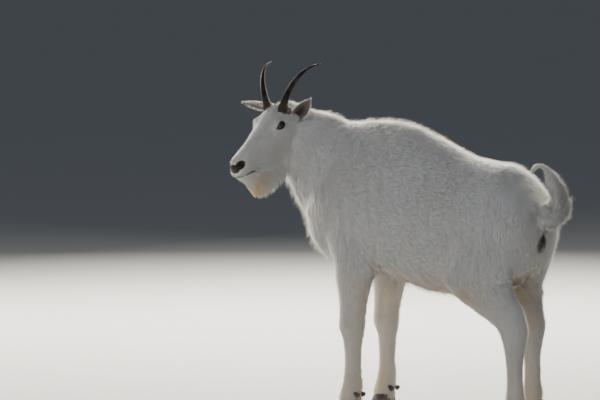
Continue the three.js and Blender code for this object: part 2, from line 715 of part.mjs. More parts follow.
const horns = [1, -1].map((flip) => makeHorn(flip).subtract(headGrown));
const earPlans = [
  { foot: [24, 55, -40], towards: [-10, 80, 63], opening: [0.95, 0.1, -0.1] },
  { foot: [8, -54, -26], towards: [11, -95, 23], opening: [0.9, 0, -0.4] },
];
const neckGrown = loft(neckRings(neckStations, GAP));
const ears = earPlans.map((p) => (
  makeEar(p.foot, p.towards, p.opening).subtract(headGrown).subtract(neckGrown)
));

// Colours
const coat = { color: 0xe6e0d4, roughness: 0.95, metalness: 0 };
const finishes = {
  coat,
  ear: { color: 0xb9ab97, roughness: 0.95, metalness: 0 },
  horn: { color: 0x1d1b1c, roughness: 0.45, metalness: 0 },
  hoof: { color: 0x26221f, roughness: 0.6, metalness: 0 },
  eye: { color: 0x1c120a, roughness: 0.08, metalness: 0 },
};

const goat = new THREE.Group();
function addNode(name, solid, finish) {
  const mesh = new THREE.Mesh(toGeometry(solid), new THREE.MeshStandardMaterial(finishes[finish]));
  mesh.name = name;
  goat.add(mesh);
}

addNode('torso', torso, 'coat');
addNode('neck', headCut.behind, 'coat');
addNode('head', head, 'coat');
addNode('tail', tail, 'coat');
['left', 'right'].forEach((sideName, i) => {
  addNode(`eye_${sideName}`, eyes[i], 'eye');
  addNode(`horn_${sideName}`, horns[i], 'horn');
  addNode(`ear_${sideName}`, ears[i], 'ear');
});
legPlans.forEach((plan, i) => {
  addNode(`leg_${plan.name}`, legs[i], 'coat');
  const foot = plan.stations.at(-1);
  const x = plan.flip * (plan.stance + foot.out);
  const y = foot.y - plan.step * (foot.step ?? 0);
  for (const [toeName, outward] of [['outer', plan.flip], ['inner', -plan.flip]]) {
    const apart = HOOF_WIDTH / 2 + 2;
    addNode(`hoof_${plan.name}_${toeName}`, makeToe(x + outward * apart, y, outward), 'hoof');
    const claw = makeDewclaw(x + outward * 15, y + 38, 66)
      .subtract(loft(legRings(plan.stations, plan.flip, plan.stance, plan.step, GAP)));
    addNode(`dewclaw_${plan.name}_${toeName}`, claw, 'hoof');
  }
});

// The middle of the box, seen from above, goes to the origin
const bounds = new THREE.Box3().setFromObject(goat);
const middle = bounds.getCenter(vec(0, 0, 0));
goat.position.set(-middle.x, -middle.y, 0);

export default goat;
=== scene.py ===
"""A mountain goat nanny, life size: one skin under a coat of tufts, with her eyes, horns and hooves.

Lengths are in millimetres in the goat's own frame until a mesh is made. She faces -Y with her left
at +X and up at +Z, as in the CAD, whose shift is read from the place of her left eye.
"""
import math
from collections import namedtuple

import bmesh
import bpy
import numpy as np
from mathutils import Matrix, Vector
from mathutils.kdtree import KDTree


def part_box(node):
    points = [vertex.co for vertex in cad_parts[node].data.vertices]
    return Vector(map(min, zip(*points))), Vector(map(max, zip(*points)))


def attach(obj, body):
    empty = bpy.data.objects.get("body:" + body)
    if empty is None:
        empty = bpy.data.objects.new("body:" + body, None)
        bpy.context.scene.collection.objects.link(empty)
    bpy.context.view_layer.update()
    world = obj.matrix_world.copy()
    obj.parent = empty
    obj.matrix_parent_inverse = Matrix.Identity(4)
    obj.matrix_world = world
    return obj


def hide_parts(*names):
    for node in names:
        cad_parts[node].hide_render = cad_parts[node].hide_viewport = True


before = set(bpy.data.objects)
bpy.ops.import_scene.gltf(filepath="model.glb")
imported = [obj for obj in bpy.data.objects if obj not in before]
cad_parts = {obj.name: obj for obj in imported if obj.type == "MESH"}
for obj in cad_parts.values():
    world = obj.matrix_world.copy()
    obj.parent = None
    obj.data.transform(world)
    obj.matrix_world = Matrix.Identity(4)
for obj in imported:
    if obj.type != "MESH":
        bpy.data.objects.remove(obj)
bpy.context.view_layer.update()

SEED = 20
rng = np.random.default_rng(SEED)
X, Y, Z = np.eye(3)
SIDES = ((1, "left"), (-1, "right"))

# Trunk
WITHERS_HEIGHT = 878
CROUP_HEIGHT = 774
BELLY_HEIGHT = 386
CHEST_FRONT = -400
RUMP_BACK = 391
BARREL_HALF_WIDTH = 166

# Head: its frame starts at the poll, with x along the face, y to her left and z off the brow
POLL = np.array([120.0, -458.0, 930.0])
HEAD_TURN = math.radians(86)
HEAD_DROP = math.radians(32)
FACE_LENGTH = 288
EYE = np.array([85.0, 41.0, -26.0])
EYE_RADIUS = 14.5
HORN_LENGTH = 190
HORN_BASE_RADIUS = 11.5
HORN_COLLAR = 3.5
EAR_LENGTH = 104
EAR_WIDTH = 40

# Legs
HOOF_HEIGHT = 46
HOOF_LENGTH = 74
HOOF_WIDTH = 27
STANCE_FRONT = 88
STANCE_HIND = 86
HIND_STEP = 52      # of the right hind foot, ahead of the left one
GAP = 0.3


def unit(vectors):
    vectors = np.asarray(vectors, float)
    return vectors / np.maximum(np.linalg.norm(vectors, axis=-1, keepdims=True), 1e-9)


def falloff(distance, inner, outer):
    """1 up to the inner distance, 0 from the outer one."""
    return np.clip((outer - distance) / (outer - inner), 0, 1)


def rise(value, low, high):
    """0 up to the low value, 1 from the high one."""
    return np.clip((value - low) / (high - low), 0, 1)


def band(value, middle, inner, outer):
    """1 close to a middle value, 0 from the outer distance on."""
    return falloff(np.abs(value - middle), inner, outer)


def near(points, centre, radii, inner, outer):
    """1 inside an ellipsoid and 0 outside it; the change lies between two shares of its radii."""
    return falloff(np.linalg.norm((points - centre) / radii, axis=1), inner, outer)


def smooth_rows(rows, steps):
    """Catmull-Rom curve through each column of the rows, with the ends held."""
    rows = np.asarray(rows, float)
    last = len(rows) - 1
    fine = []
    for i in range(last):
        a, b, c, d = rows[max(i - 1, 0)], rows[i], rows[i + 1], rows[min(i + 2, last)]
        for t in np.arange(steps) / steps:
            bent = (2 * a - 5 * b + 4 * c - d) * t**2 + (3 * (b - c) + d - a) * t**3
            fine.append(0.5 * (2 * b + (c - a) * t + bent))
    fine.append(rows[last])
    return np.array(fine)


def to_steps(places, start, step):
    """Share along each step of a line that is nearest to each place, and the way from there to it."""
    offset = places[:, None] - start
    share = np.clip((offset * step).sum(2) / np.maximum((step**2).sum(1), 1e-6), 0, 1)
    return share, offset - share[..., None] * step


# Head frame
turned = HEAD_TURN - math.pi / 2
face_level = np.array([math.cos(turned), math.sin(turned), 0.0])
head_left = np.cross(Z, face_level)
face_ahead = face_level * math.cos(HEAD_DROP) - Z * math.sin(HEAD_DROP)
head_up = np.cross(face_ahead, head_left)
HEAD_AXES = np.array([face_ahead, head_left, head_up])


def in_head(places):
    return POLL + np.asarray(places, float) @ HEAD_AXES


def head_direction(*parts):
    return unit(np.asarray(parts, float) @ HEAD_AXES)


def to_head(points):
    return (points - POLL) @ HEAD_AXES.T


eye_low, eye_high = (np.array(corner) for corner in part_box("eye_left"))
SHIFT = (eye_low + eye_high) / 2 * 1000 - in_head(EYE)


def to_scene(points):
    return (np.asarray(points, float) + SHIFT) / 1000


CHUNK = 20000       # points measured at once
END_CAP = 3         # how far a form reaches past its last ring


class Form:
    """A lofted form: rings along a spine, each with its frame and its reach on four sides."""

    def __init__(self, centre, side, up, reach, square, square_below=None):
        rows = len(centre)
        below = square if square_below is None else square_below
        self.centre = centre
        self.side, self.up = (np.broadcast_to(v, (rows, 3)).astype(float) for v in (side, up))
        self.half, self.above, self.below = reach
        self.square, self.square_below = (
            np.broadcast_to(v, rows).astype(float) for v in (square, below))
        self.ahead = unit(np.gradient(centre, axis=0))

    def take_off(self, depth, share):
        """Makes the form thinner by the depth, but never by more than a share of its reach."""
        self.half, self.above, self.below = (
            reach - np.minimum(depth, share * reach) for reach in (self.half, self.above, self.below)
        )

    def rings(self, count):
        angle = (np.arange(count) + 0.5) / count * math.tau
        c, s = np.cos(angle), np.sin(angle)
        power = np.where(s > 0, self.square[:, None], self.square_below[:, None])
        half, above, below = (reach[:, None] for reach in (self.half, self.above, self.below))
        across = half * np.sign(c) * np.abs(c) ** power
        raised = np.where(s > 0, above, below) * np.sign(s) * np.abs(s) ** power
        return (self.centre[:, None] + across[..., None] * self.side[:, None]
                + raised[..., None] * self.up[:, None])

    def measure(self, points):
        """Place along the spine (0 to 1), turns round it, height over the surface and the way ahead."""
        start, step = self.centre[:-1], np.diff(self.centre, axis=0)
        along, turns, height = [np.empty(len(points)) for _ in range(3)]
        ahead = np.empty((len(points), 3))
        for first in range(0, len(points), CHUNK):
            part = slice(first, first + CHUNK)
            t, away = to_steps(points[part], start, step)
            nearest = (away**2).sum(2).argmin(1)
            pick = np.arange(len(nearest)), nearest
            t, away = t[pick], away[pick]

            def mix(column):
                return (column[nearest].T * (1 - t) + column[nearest + 1].T * t).T

            side, up = unit(mix(self.side)), unit(mix(self.up))
            across, raised = (away * side).sum(1), (away * up).sum(1)
            radius = np.hypot(across, raised)
            tall = np.where(raised > 0, mix(self.above), mix(self.below))
            power = np.where(raised > 0, mix(self.square), mix(self.square_below))
            flat = np.abs(across) / np.maximum(radius, 1e-6) / mix(self.half)
            steep = np.abs(raised) / np.maximum(radius, 1e-6) / tall
            edge = np.maximum(flat ** (2 / power) + steep ** (2 / power), 1e-12) ** (-power / 2)
            ahead[part] = unit(mix(self.ahead))
            axial = np.abs((away * ahead[part]).sum(1))
            along[part] = (nearest + t) / (len(self.centre) - 1)
            turns[part] = np.arctan2(raised / tall, across / mix(self.half)) / math.tau % 1
            height[part] = np.maximum(radius - edge, axial - END_CAP)
        return along, turns, height, ahead


def upright_form(rows, place, side, up, square_below):
    """A form whose rows give its place along, top, bottom, half width, widest level and squareness."""
    at, top, bottom, half, wide, square = smooth_rows(rows, 4).T
    return Form(place(at, wide), side, up, (half, top - wide, wide - bottom), square, square_below)


def in_middle(y, z):
    return np.stack([0 * y, y, z], 1)


def in_head_middle(x, z):
    return in_head(np.stack([x, 0 * x, z], 1))


def trunk_form():
    return upright_form([
        (CHEST_FRONT, 700, 560, 50, 628, 1),
        (-380, 770, 505, 96, 625, 1),
        (-330, 857, 466, 128, 620, 1),
        (-250, 870, 446, 146, 615, 1.05),
        (-160, WITHERS_HEIGHT, 436, 154, 605, 1.12),
        (-60, 867, 408, 161, 590, 1.08),
        (40, 830, BELLY_HEIGHT, BARREL_HALF_WIDTH, 570, 1),
        (130, 792, 388, 164, 570, 0.98),
        (210, 776, 404, 158, 585, 0.97),
        (290, CROUP_HEIGHT - 8, 436, 152, 600, 0.96),
        (345, 716, 462, 138, 606, 0.95),
        (372, 678, 488, 118, 606, 0.92),
        (386, 656, 520, 88, 606, 0.9),
        (RUMP_BACK, 642, 556, 48, 606, 0.9),
    ], in_middle, X, Z, 0.92)


def neck_form():
    rows = smooth_rows([
        # x, y, z, half width, above, below, turn of its width
        (0, -262, 676, 128, 176, 182, 0),
        (4, -322, 722, 118, 160, 168, 0.05),
        (24, -378, 772, 100, 128, 130, 0.3),
        (54, -420, 822, 84, 102, 103, 0.7),
        (84, -447, 868, 62, 62, 88, 1.1),
    ], 8)
    centre = rows[:, :3]
    half, above, below, side = rows.T[3:]
    ahead = unit(np.gradient(centre, axis=0))
    level = np.stack([np.cos(side), np.sin(side), 0 * side], 1)
    up = -unit(np.cross(level, ahead))
    return Form(centre, unit(np.cross(up, ahead)), up, (half, above, below), 1)


def head_form():
    return upright_form([
        (-52, -44, -112, 40, -70, 1),
        (-34, -35, -136, 56, -68, 1),
        (0, -12, -152, 60, -64, 0.9),
        (36, 4, -160, 58, -60, 0.82),
        (68, 4, -160, 55, -56, 0.8),
        (100, -4, -152, 50, -54, 0.82),
        (140, -11, -140, 43, -60, 0.86),
        (180, -15, -126, 36, -66, 0.9),
        (220, -18, -114, 33, -66, 0.9),
        (252, -20, -106, 31, -64, 0.88),
        (270, -23, -98, 28, -60, 0.88),
        (FACE_LENGTH - 6, -31, -86, 22, -58, 0.88),
        (FACE_LENGTH, -42, -74, 12, -58, 0.9),
    ], in_head_middle, head_left, head_up, 1.05)


FORE_STATIONS = [
    # z, y, half length, half width, shift outwards, share of the step ahead
    (650, -238, 92, 50, -14, 0),
    (560, -230, 90, 56, -6, 0),
    (480, -216, 68, 50, 0, 0),
    (410, -214, 54, 44, 2, 0),
    (350, -216, 44, 38, 2, 0),
    (300, -220, 40, 36, 0, 0),
    (265, -222, 40, 37, 0, 0),
    (225, -219, 30, 27, 0, 0),
    (150, -218, 26, 24, 0, 0),
    (100, -219, 30, 28, 0, 0),
    (74, -225, 32, 29, 0, 0),
    (HOOF_HEIGHT + GAP, -231, 37, 32, 0, 0),
]
HIND_STATIONS = [
    (660, 268, 100, 60, -16, 0),
    (580, 260, 118, 70, -4, -0.1),
    (500, 238, 120, 68, 4, -0.05),
    (435, 226, 106, 62, 8, 0),
    (385, 264, 98, 53, 7, 0.75),
    (345, 306, 78, 44, 3, 1),
    (305, 345, 54, 38, 0, 1),
    (268, 354, 39, 33, 0, 1),
    (205, 356, 27, 25, 0, 1),
    (145, 358, 25, 24, 0, 1),
    (100, 359, 30, 28, 1, 1),
    (74, 355, 31, 29, 1, 1),
    (HOOF_HEIGHT + GAP, 350, 36, 31, 2, 1),
]
# name, side, stance, stations and length of the step
LEGS = [plan for flip, side_name in SIDES for plan in (
    (f"fore_{side_name}", flip, STANCE_FRONT, FORE_STATIONS, 0),
    (f"hind_{side_name}", flip, STANCE_HIND, HIND_STATIONS, HIND_STEP if flip < 0 else 0),
)]


def leg_form(flip, stance, stations, step_ahead):
    z, y, long, half, out, step = smooth_rows(stations, 4).T
    centre = np.stack([flip * (stance + out), y - step_ahead * step, z], 1)
    return Form(centre, X, Y, (half, long, long), 0.96)


def tail_form():
    y, z, half, outer, inner = smooth_rows([
        # y, z, half width, reach to the outer side, reach to the inner side
        (350, 636, 26, 32, 32),
        (396, 630, 27, 34, 30),
        (440, 644, 27, 36, 26),
        (445, 684, 22, 24, 22),
        (431, 720, 15, 13, 13),
        (416, 746, 10, 8, 8),
        (400, 762, 8, 6.5, 6.5),
        (382, 767, 7, 6, 6),
        (366, 760, 6.5, 5.5, 5.5),
        (358, 747, 5, 4.5, 4.5),
    ], 4).T
    centre = in_middle(y, z)
    up = np.cross(X, unit(np.gradient(centre, axis=0)))
    return Form(centre, X, up, (half, inner, outer), 1)


HANG = head_direction(0.42, 0, -0.907)      # lie of the beard
BEARD_ROOT = 20                             # how far it reaches up into the jaw


def beard_form():
    x, z, drop, half = smooth_rows([
        # x, z, drop, half width
        (262, -92, 14, 10),
        (246, -96, 26, 18),
        (222, -104, 37, 22),
        (190, -114, 45, 22),
        (155, -128, 43, 20),
        (120, -142, 38, 17),
        (88, -152, 28, 13),
    ], 4).T
    return Form(in_head_middle(x, z), head_left, HANG, (half, drop, 0 * x + BEARD_ROOT), 1)


# Forms of the body, each made thinner by the depth of its coat
forms = {"trunk": trunk_form(), "neck": neck_form(), "head": head_form(), "beard": beard_form()}
forms.update({name: leg_form(*plan) for name, *plan in LEGS})
forms["tail"] = tail_form()
COAT_DEPTH = {"trunk": 9, "neck": 9, "head": 2.5, "beard": 2, "fore": 3, "hind": 7, "tail": 4}
COAT_SHARE = 0.13       # of a form's reach, the most that its coat takes
for name, form in forms.items():
    form.take_off(COAT_DEPTH[name.split("_")[0]], COAT_SHARE)


# Meshes
def loft(rings):
    """Vertices and triangles of a closed skin over rings, with a fan at both ends."""
    rows, count = rings.shape[:2]
    vertices = np.concatenate([rings.reshape(-1, 3), rings[[0, -1]].mean(1)])
    k = np.arange(count)
    n = (k + 1) % count
    r = (np.arange(rows - 1) * count)[:, None]
    walls = [np.stack(corners, -1) for corners in (
        (r + k, r + n, r + k + count), (r + n, r + n + count, r + k + count))]
    low = np.stack([0 * k + rows * count, n, k], -1)
    base = (rows - 1) * count
    high = np.stack([0 * k + rows * count + 1, base + k, base + n], -1)
    return vertices, np.concatenate([w.reshape(-1, 3) for w in walls] + [low, high])


def ball(centre, radii, axes, columns=32, rows=16):
    around = np.arange(columns) / columns * math.tau
    polar = ((np.arange(rows) + 0.5) / rows * math.pi)[:, None]
    grid = np.stack(np.broadcast_arrays(
        np.sin(polar) * np.cos(around), np.sin(polar) * np.sin(around), np.cos(polar)), -1)
    return loft(np.asarray(centre) + (grid * np.asarray(radii, float)) @ np.asarray(axes))


def join(parts):
    vertices, faces, first = [], [], 0
    for v, f in parts:
        vertices.append(v)
        faces.append(f + first)
        first += len(v)
    return np.concatenate(vertices), np.concatenate(faces)


def mesh_object(name, vertices, faces):
    """An object from millimetre vertices and rows of vertex numbers, three or four to a face."""
    mesh = bpy.data.meshes.new(name)
    mesh.vertices.add(len(vertices))
    mesh.vertices.foreach_set("co", to_scene(vertices).astype(np.float32).ravel())
    mesh.loops.add(faces.size)
    mesh.loops.foreach_set("vertex_index", faces.astype(np.int32).ravel())
    mesh.polygons.add(len(faces))
    mesh.polygons.foreach_set("loop_start", np.arange(0, faces.size, faces.shape[1], dtype=np.int32))
    mesh.polygons.foreach_set("use_smooth", np.full(len(faces), True))
    mesh.update(calc_edges=True)
    piece = bpy.data.objects.new(name, mesh)
    bpy.context.scene.collection.objects.link(piece)
    return piece


def turn_outward(piece):
    work = bmesh.new()
    work.from_mesh(piece.data)
    bmesh.ops.recalc_face_normals(work, faces=work.faces)
    work.to_mesh(piece.data)
    work.free()


def apply_modifiers(piece):
    graph = bpy.context.evaluated_depsgraph_get()
    mesh = bpy.data.meshes.new_from_object(piece.evaluated_get(graph))
    old = piece.data
    piece.modifiers.clear()
    piece.data = mesh
    bpy.data.meshes.remove(old)


def read(collection, field, width, kind=np.float32):
    flat = np.empty(len(collection) * width, kind)
    collection.foreach_get(field, flat)
    return flat.reshape(-1, width)


def points_of(piece):
    return read(piece.data.vertices, "co", 3).astype(float) * 1000 - SHIFT


def normals_of(piece):
    return read(piece.data.vertices, "normal", 3).astype(float)


def triangles_of(piece):
    piece.data.calc_loop_triangles()
    return read(piece.data.loop_triangles, "vertices", 3, np.int32)


def set_uv(piece, corners):
    layer = piece.data.uv_layers.new(name="OFBake")
    layer.data.foreach_set("uv", corners.astype(np.float32).ravel())


def point_value(piece, label, values, kind="FLOAT"):
    layer = piece.data.attributes.new(label, kind, "POINT")
    field = "vector" if kind == "FLOAT_VECTOR" else "value"
    layer.data.foreach_set(field, np.asarray(values, np.float32).ravel())


def set_marks(piece, stain_and_glow, dark):
    """How golden and how dark the coat is at each point, for its material. The golden mark is partly
    staining and partly painted glow of light shining through the hair; on the ears the dark mark is
    partly painted shade inside the cup.
    """
    point_value(piece, "stain_and_glow", stain_and_glow)
    point_value(piece, "dark", dark)


def finish_piece(piece, material, slot, *nodes):
    piece.data.materials.append(material)
    turn_outward(piece)
    if nodes:
        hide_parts(*nodes)
    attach(piece, "root")


# Skin
SKIN_VOXEL = 6.5
SMOOTH_ROUNDS = 40
TAIL_HOOK = 0.42        # share of the tail from which its thin end starts
TAIL_REACH = 12
HOOK_WEIGHT = 0.02      # of the smoothing, at the end of the tail
FIRM_SHARE = 0.85       # of the smoothing, kept off the face and the feet
RING_POINTS = 72
UDDER = ((0, 262, 450), (40, 50, 34), np.eye(3))        # centre, radii and axes
CHIN = (in_head((250, 0, -97)), (24, 19, 11.5), HEAD_AXES)
EYE_SOCKET = (24, 19, 16.5)
LIP = {"place": (263, 11, -64), "radii": (22, 16, 14)}
EYE_OUTWARD = (0.3, 0.94, 0.12)


def eye_frame(flip):
    """The centre of an eye, and its axes: to the nose, up and outwards."""
    ahead, aside, raised = EYE_OUTWARD
    outward = head_direction(ahead, flip * aside, raised)
    up = unit(head_up - outward * (head_up @ outward))
    return in_head(EYE * (1, flip, 1)), np.array([np.cross(outward, up) * flip, up, outward])


def rough_skin():
    parts = [loft(form.rings(RING_POINTS)) for form in forms.values()]
    parts.append(ball(*UDDER))
    for flip, _ in SIDES:
        x, y, z = LIP["place"]
        parts.append(ball(in_head((x, flip * y, z)), LIP["radii"], HEAD_AXES))
        centre, axes = eye_frame(flip)
        parts.append(ball(centre, EYE_SOCKET, axes))
    parts.append(ball(*CHIN))
    piece = mesh_object("skin", *join(parts))
    remesh = piece.modifiers.new("Remesh", "REMESH")
    remesh.mode = "VOXEL"
    remesh.voxel_size = SKIN_VOXEL / 1000
    apply_modifiers(piece)
    even_out(piece)
    return piece


def even_out(piece):
    """Softens the joints between the forms, least on the face, the feet and the end of the tail."""
    points = points_of(piece)
    along, _, height, _ = forms["tail"].measure(points)
    face = rise(to_head(points)[:, 0], 0, 50)
    feet = falloff(points[:, 2], 250, 330)
    hook = (along > TAIL_HOOK) & (height < TAIL_REACH)
    weights = np.where(hook, HOOK_WEIGHT, 1 - FIRM_SHARE * np.maximum(face, feet))
    group = piece.vertex_groups.new(name="even")
    for i, weight in enumerate(weights):
        group.add([i], weight, "REPLACE")
    even = piece.modifiers.new("Smooth", "SMOOTH")
    even.vertex_group = group.name
    even.factor = 0.5
    even.iterations = SMOOTH_ROUNDS
    apply_modifiers(piece)
    piece.vertex_groups.clear()


def wanted_faces(work, wanted):
    """The faces whose middle, in the goat's frame, is wanted."""
    work.faces.ensure_lookup_table()
    middles = np.array([face.calc_center_median() for face in work.faces]) * 1000 - SHIFT
    return [work.faces[i] for i in np.flatnonzero(wanted(middles))]


def refine(piece, wanted, rounds):
    """Splits the faces whose middle is wanted, and evens their points out."""
    work = bmesh.new()
    work.from_mesh(piece.data)
    edges = list({edge for face in wanted_faces(work, wanted) for edge in face.edges})
    bmesh.ops.subdivide_edges(work, edges=edges, cuts=1, use_grid_fill=True)
    vertices = list({vertex for face in wanted_faces(work, wanted) for vertex in face.verts})
    for _ in range(rounds):
        bmesh.ops.smooth_vert(work, verts=vertices, factor=0.5, use_axis_x=True,
                              use_axis_y=True, use_axis_z=True)
    work.to_mesh(piece.data)
    work.free()


# Face
EYE_OPENING = {"long": 16, "above": 11, "below": 8.5}
LID_RADIUS = EYE_RADIUS + 2.4
LID_REACH = 6           # over which the lids swell out of the face
LID_BLEND = 9           # from the edge of the opening
LID_AREA = 30           # from the middle of the eye
CUP_RADIUS = EYE_RADIUS - 3
MOUTH_LINE = np.array([(296, -75), (278, -78), (258, -80), (240, -85), (225, -94)], float)
MOUTH_DEPTH = 4.5
LIP_RISE = 1.8
MOUTH_END = (215, 235)      # where along the face it fades in
# In the head's frame: the part that is shaped, and the parts whose faces are split
FACE_AREA = {"start": 20, "half_width": 80, "middle": -60, "half_height": 140}
FINE_HEAD = {"start": 10, "middle": (150, 0, -70), "reach": 190}
FINE_MUZZLE = 212
NOSTRIL = np.array([272.0, 20.0, -42.0])
NOSTRIL_TURN = 0.5          # radians, in the side view
NOSTRIL_DEPTH = 8
NOSTRIL_RIM = 1.8


def almond(steps):
    """The outline of the eye's opening, in the eye's own frame."""
    t = np.arange(steps) / steps
    long, above, below = EYE_OPENING["long"], EYE_OPENING["above"], EYE_OPENING["below"]

    def bow(a, b, c):
        return ((1 - t)**2)[:, None] * a + (2 * t * (1 - t))[:, None] * b + (t**2)[:, None] * c

    rear, front = np.array([-long, 0.0]), np.array([long, -2.0])
    top = bow(rear, np.array([-long * 0.2, above * 2.0]), front)
    return np.concatenate([top, bow(front, np.array([0, -below * 2.0]), rear)])


def inside_outline(places, outline):
    """How far inside an outline each place is, negative outside."""
    ends = np.roll(outline, -1, 0)
    step = ends - outline
    distance = np.sqrt((to_steps(places, outline, step)[1]**2).sum(2)).min(1)
    x, y = places[:, :1], places[:, 1:]
    spans = (outline[:, 1] > y) != (ends[:, 1] > y)
    height = np.where(np.abs(step[:, 1]) < 1e-9, 1e-9, step[:, 1])
    crossing = outline[:, 0] + (y - outline[:, 1]) / height * step[:, 0]
    inside = (spans & (x < crossing)).sum(1) % 2 == 1
    return np.where(inside, distance, -distance)


def mouth_distance(local):
    """Distance to the line of the mouth in the head's side view, and how far above it."""
    away = to_steps(local[:, [0, 2]], MOUTH_LINE[:-1], np.diff(MOUTH_LINE, axis=0))[1]
    size = np.sqrt((away**2).sum(2))
    pick = np.arange(len(local)), size.argmin(1)
    return size[pick], away[pick][:, 1]


def mouth_push(local):
    """How far the face moves outwards for the mouth: a groove between two lips."""
    distance, above = mouth_distance(local)
    groove = -MOUTH_DEPTH * np.exp(-(distance / 1.7)**2)
    lips = LIP_RISE * np.exp(-((distance - 5) / 3)**2) * np.where(above > 0, 1, 0.8)
    return (groove + lips) * rise(local[:, 0], *MOUTH_END)


def nostril_push(local, flip):
    """How far the face moves outwards for a nostril: a curled pit under a raised wing."""
    c, s = math.cos(NOSTRIL_TURN), math.sin(NOSTRIL_TURN)
    x, y, z = ((local - NOSTRIL * (1, flip, 1)) @ np.array([[c, 0, s], [0, 1, 0], [-s, 0, c]]).T).T
    curl = z - 0.03 * x**2
    pit = np.exp(-((x / 8)**2 + (curl / 3.2)**2 + (y / 14)**2)**1.5)
    wing = np.exp(-(((x - 1) / 11)**2 + ((curl - 6) / 4)**2 + (y / 14)**2))
    return -NOSTRIL_DEPTH * pit + NOSTRIL_RIM * wing


def fit_lids(points, flip):
    """Moves the points round an eye: into its cup inside the opening, up to the lids outside it."""
    centre, axes = eye_frame(flip)
    local = (points - centre) @ axes.T
    radius = np.linalg.norm(local, axis=1)
    inside = inside_outline(local[:, :2], almond(16))
    goal = np.where(inside > 0, CUP_RADIUS, np.maximum(radius, LID_RADIUS))
    near_lid = (radius < LID_RADIUS + LID_REACH) & (inside <= 0)
    close = np.clip(1 - np.abs(inside) / LID_BLEND, 0, 1)
    goal = np.where(near_lid, radius + (LID_RADIUS - radius) * close, goal)
    facing = (local[:, 2] > 2) & (radius < LID_AREA)
    goal = np.where(facing, goal, radius)
    return centre + (local * (goal / np.maximum(radius, 1e-6))[:, None]) @ axes


def shape_face(piece):
    points, normals = points_of(piece), normals_of(piece)
    local = to_head(points)
    x, y, z = local.T
    level = np.abs(z - FACE_AREA["middle"]) < FACE_AREA["half_height"]
    index = np.flatnonzero((x > FACE_AREA["start"]) & (np.abs(y) < FACE_AREA["half_width"]) & level)
    p, n, h = points[index], normals[index], local[index]
    p += n * mouth_push(h)[:, None]
    for flip, _ in SIDES:
        p += n * nostril_push(h, flip)[:, None]
        p = fit_lids(p, flip)
    points[index] = p
    piece.data.vertices.foreach_set("co", to_scene(points).astype(np.float32).ravel())
    piece.data.update()


def skin_piece():
    piece = rough_skin()

    def within(points, centre, reach):
        return np.linalg.norm(points - centre, axis=1) < reach

    def head_places(middles):
        local = to_head(middles)
        return (local[:, 0] > FINE_HEAD["start"]) & within(local, FINE_HEAD["middle"], FINE_HEAD["reach"])

    def fine_places(middles):
        muzzle = to_head(middles)[:, 0] > FINE_MUZZLE
        left, right = (within(middles, eye_frame(flip)[0], LID_AREA) for flip, _ in SIDES)
        return muzzle | left | right

    refine(piece, head_places, 2)
    refine(piece, fine_places, 1)
    shape_face(piece)
    return piece


# Bare and marked places, each from 0 to 1 over points in millimetres
HORN_FOOT = np.array([33.0, 31.0, 2.0])
HORN_GLAND = HORN_FOOT - (5, 0, 0)
VENT = np.array([0.0, 380.0, 548.0])


def nose_mask(points):
    local = to_head(points)
    masks = [near(local, NOSTRIL * (1, flip, 1), (19, 15, 12), 0.9, 1.15) for flip, _ in SIDES]
    masks.append(near(local, (292, 0, -47), (19, 27, 15), 0.95, 1.15))
    masks.append(falloff(mouth_distance(local)[0], 3, 5) * rise(local[:, 0], 222, 238))
    return np.maximum.reduce(masks)


def eye_mask(points):
    masks = []
    for flip, _ in SIDES:
        centre, axes = eye_frame(flip)
        local = (points - centre) @ axes.T
        inside = inside_outline(local[:, :2], almond(12))
        masks.append(falloff(-inside, 1.2, 3.0) * (local[:, 2] > 0) * (np.abs(local[:, 2]) < 40))
    return np.maximum(*masks)


def horn_mask(points):
    """The dark bare gland round and behind the foot of each horn."""
    local = to_head(points)
    left, right = (near(local, HORN_GLAND * (1, flip, 1), (1.15, 1, 1.6), 21, 25) for flip, _ in SIDES)
    return np.maximum(left, right)


def bare_mask(points):
    vent = near(points, VENT, (19, 26, 25), 0.85, 1.1)
    return np.maximum.reduce([nose_mask(points), eye_mask(points), horn_mask(points), vent])


def dark_mask(points, place):
    """Dark short hair round the vent, and a brown streak down the under side of the tail."""
    round_vent = near(points, VENT, (24, 30, 29), 0.85, 1.1)
    over_vent = near(points - VENT, (0, 5, 34), (11, 30, 24), 0.8, 1.1)
    tail = place.names.index("tail")
    streak = band(place.turns[tail], 0.8, 0.06, 0.15) * band(place.along[tail], 0.29, 0.05, 0.11)
    return np.maximum.reduce([round_vent, 0.6 * over_vent, 0.5 * streak * place.share[tail]])


def stain_and_glow_mask(points):
    """Where the white coat turns golden: under the chin, between the legs and low on the belly. The gold
    is partly yellow staining and partly painted glow of light shining through the hair, most under the
    chin and between the hind legs.
    """
    x, y, z = points.T
    local = to_head(points)
    # Under the chin: staining and painted glow of light shining through the beard
    chin = band(local[:, 2], -128, 6, 34) * band(local[:, 0], 225, 10, 60)
    belly = falloff(z, 400, 470) * band(y, 40, 150, 320) * 0.6
    # Between the hind legs: staining and painted glow of light shining through the hair
    between = band(x, 0, 20, 100) * band(y, 345, 50, 130) * band(z, 360, 55, 105)
    shins = falloff(z, 90, 260) * 0.5
    return np.clip(np.maximum.reduce([chin, belly, between, shins]), 0, 1)


# Unwrap of the skin: corner, width and height for each form
ATLAS = {
    "trunk": (0.01, 0.01, 0.58, 0.56),
    "neck": (0.61, 0.01, 0.38, 0.20),
    "head": (0.61, 0.23, 0.38, 0.34),
    "fore_left": (0.01, 0.60, 0.13, 0.38),
    "fore_right": (0.16, 0.60, 0.13, 0.38),
    "hind_left": (0.31, 0.60, 0.16, 0.38),
    "hind_right": (0.49, 0.60, 0.16, 0.38),
    "tail": (0.67, 0.60, 0.12, 0.38),
    "beard": (0.81, 0.60, 0.18, 0.38),
}
BLEND_DEPTH = 14        # over which one form's coat gives way to the next one's


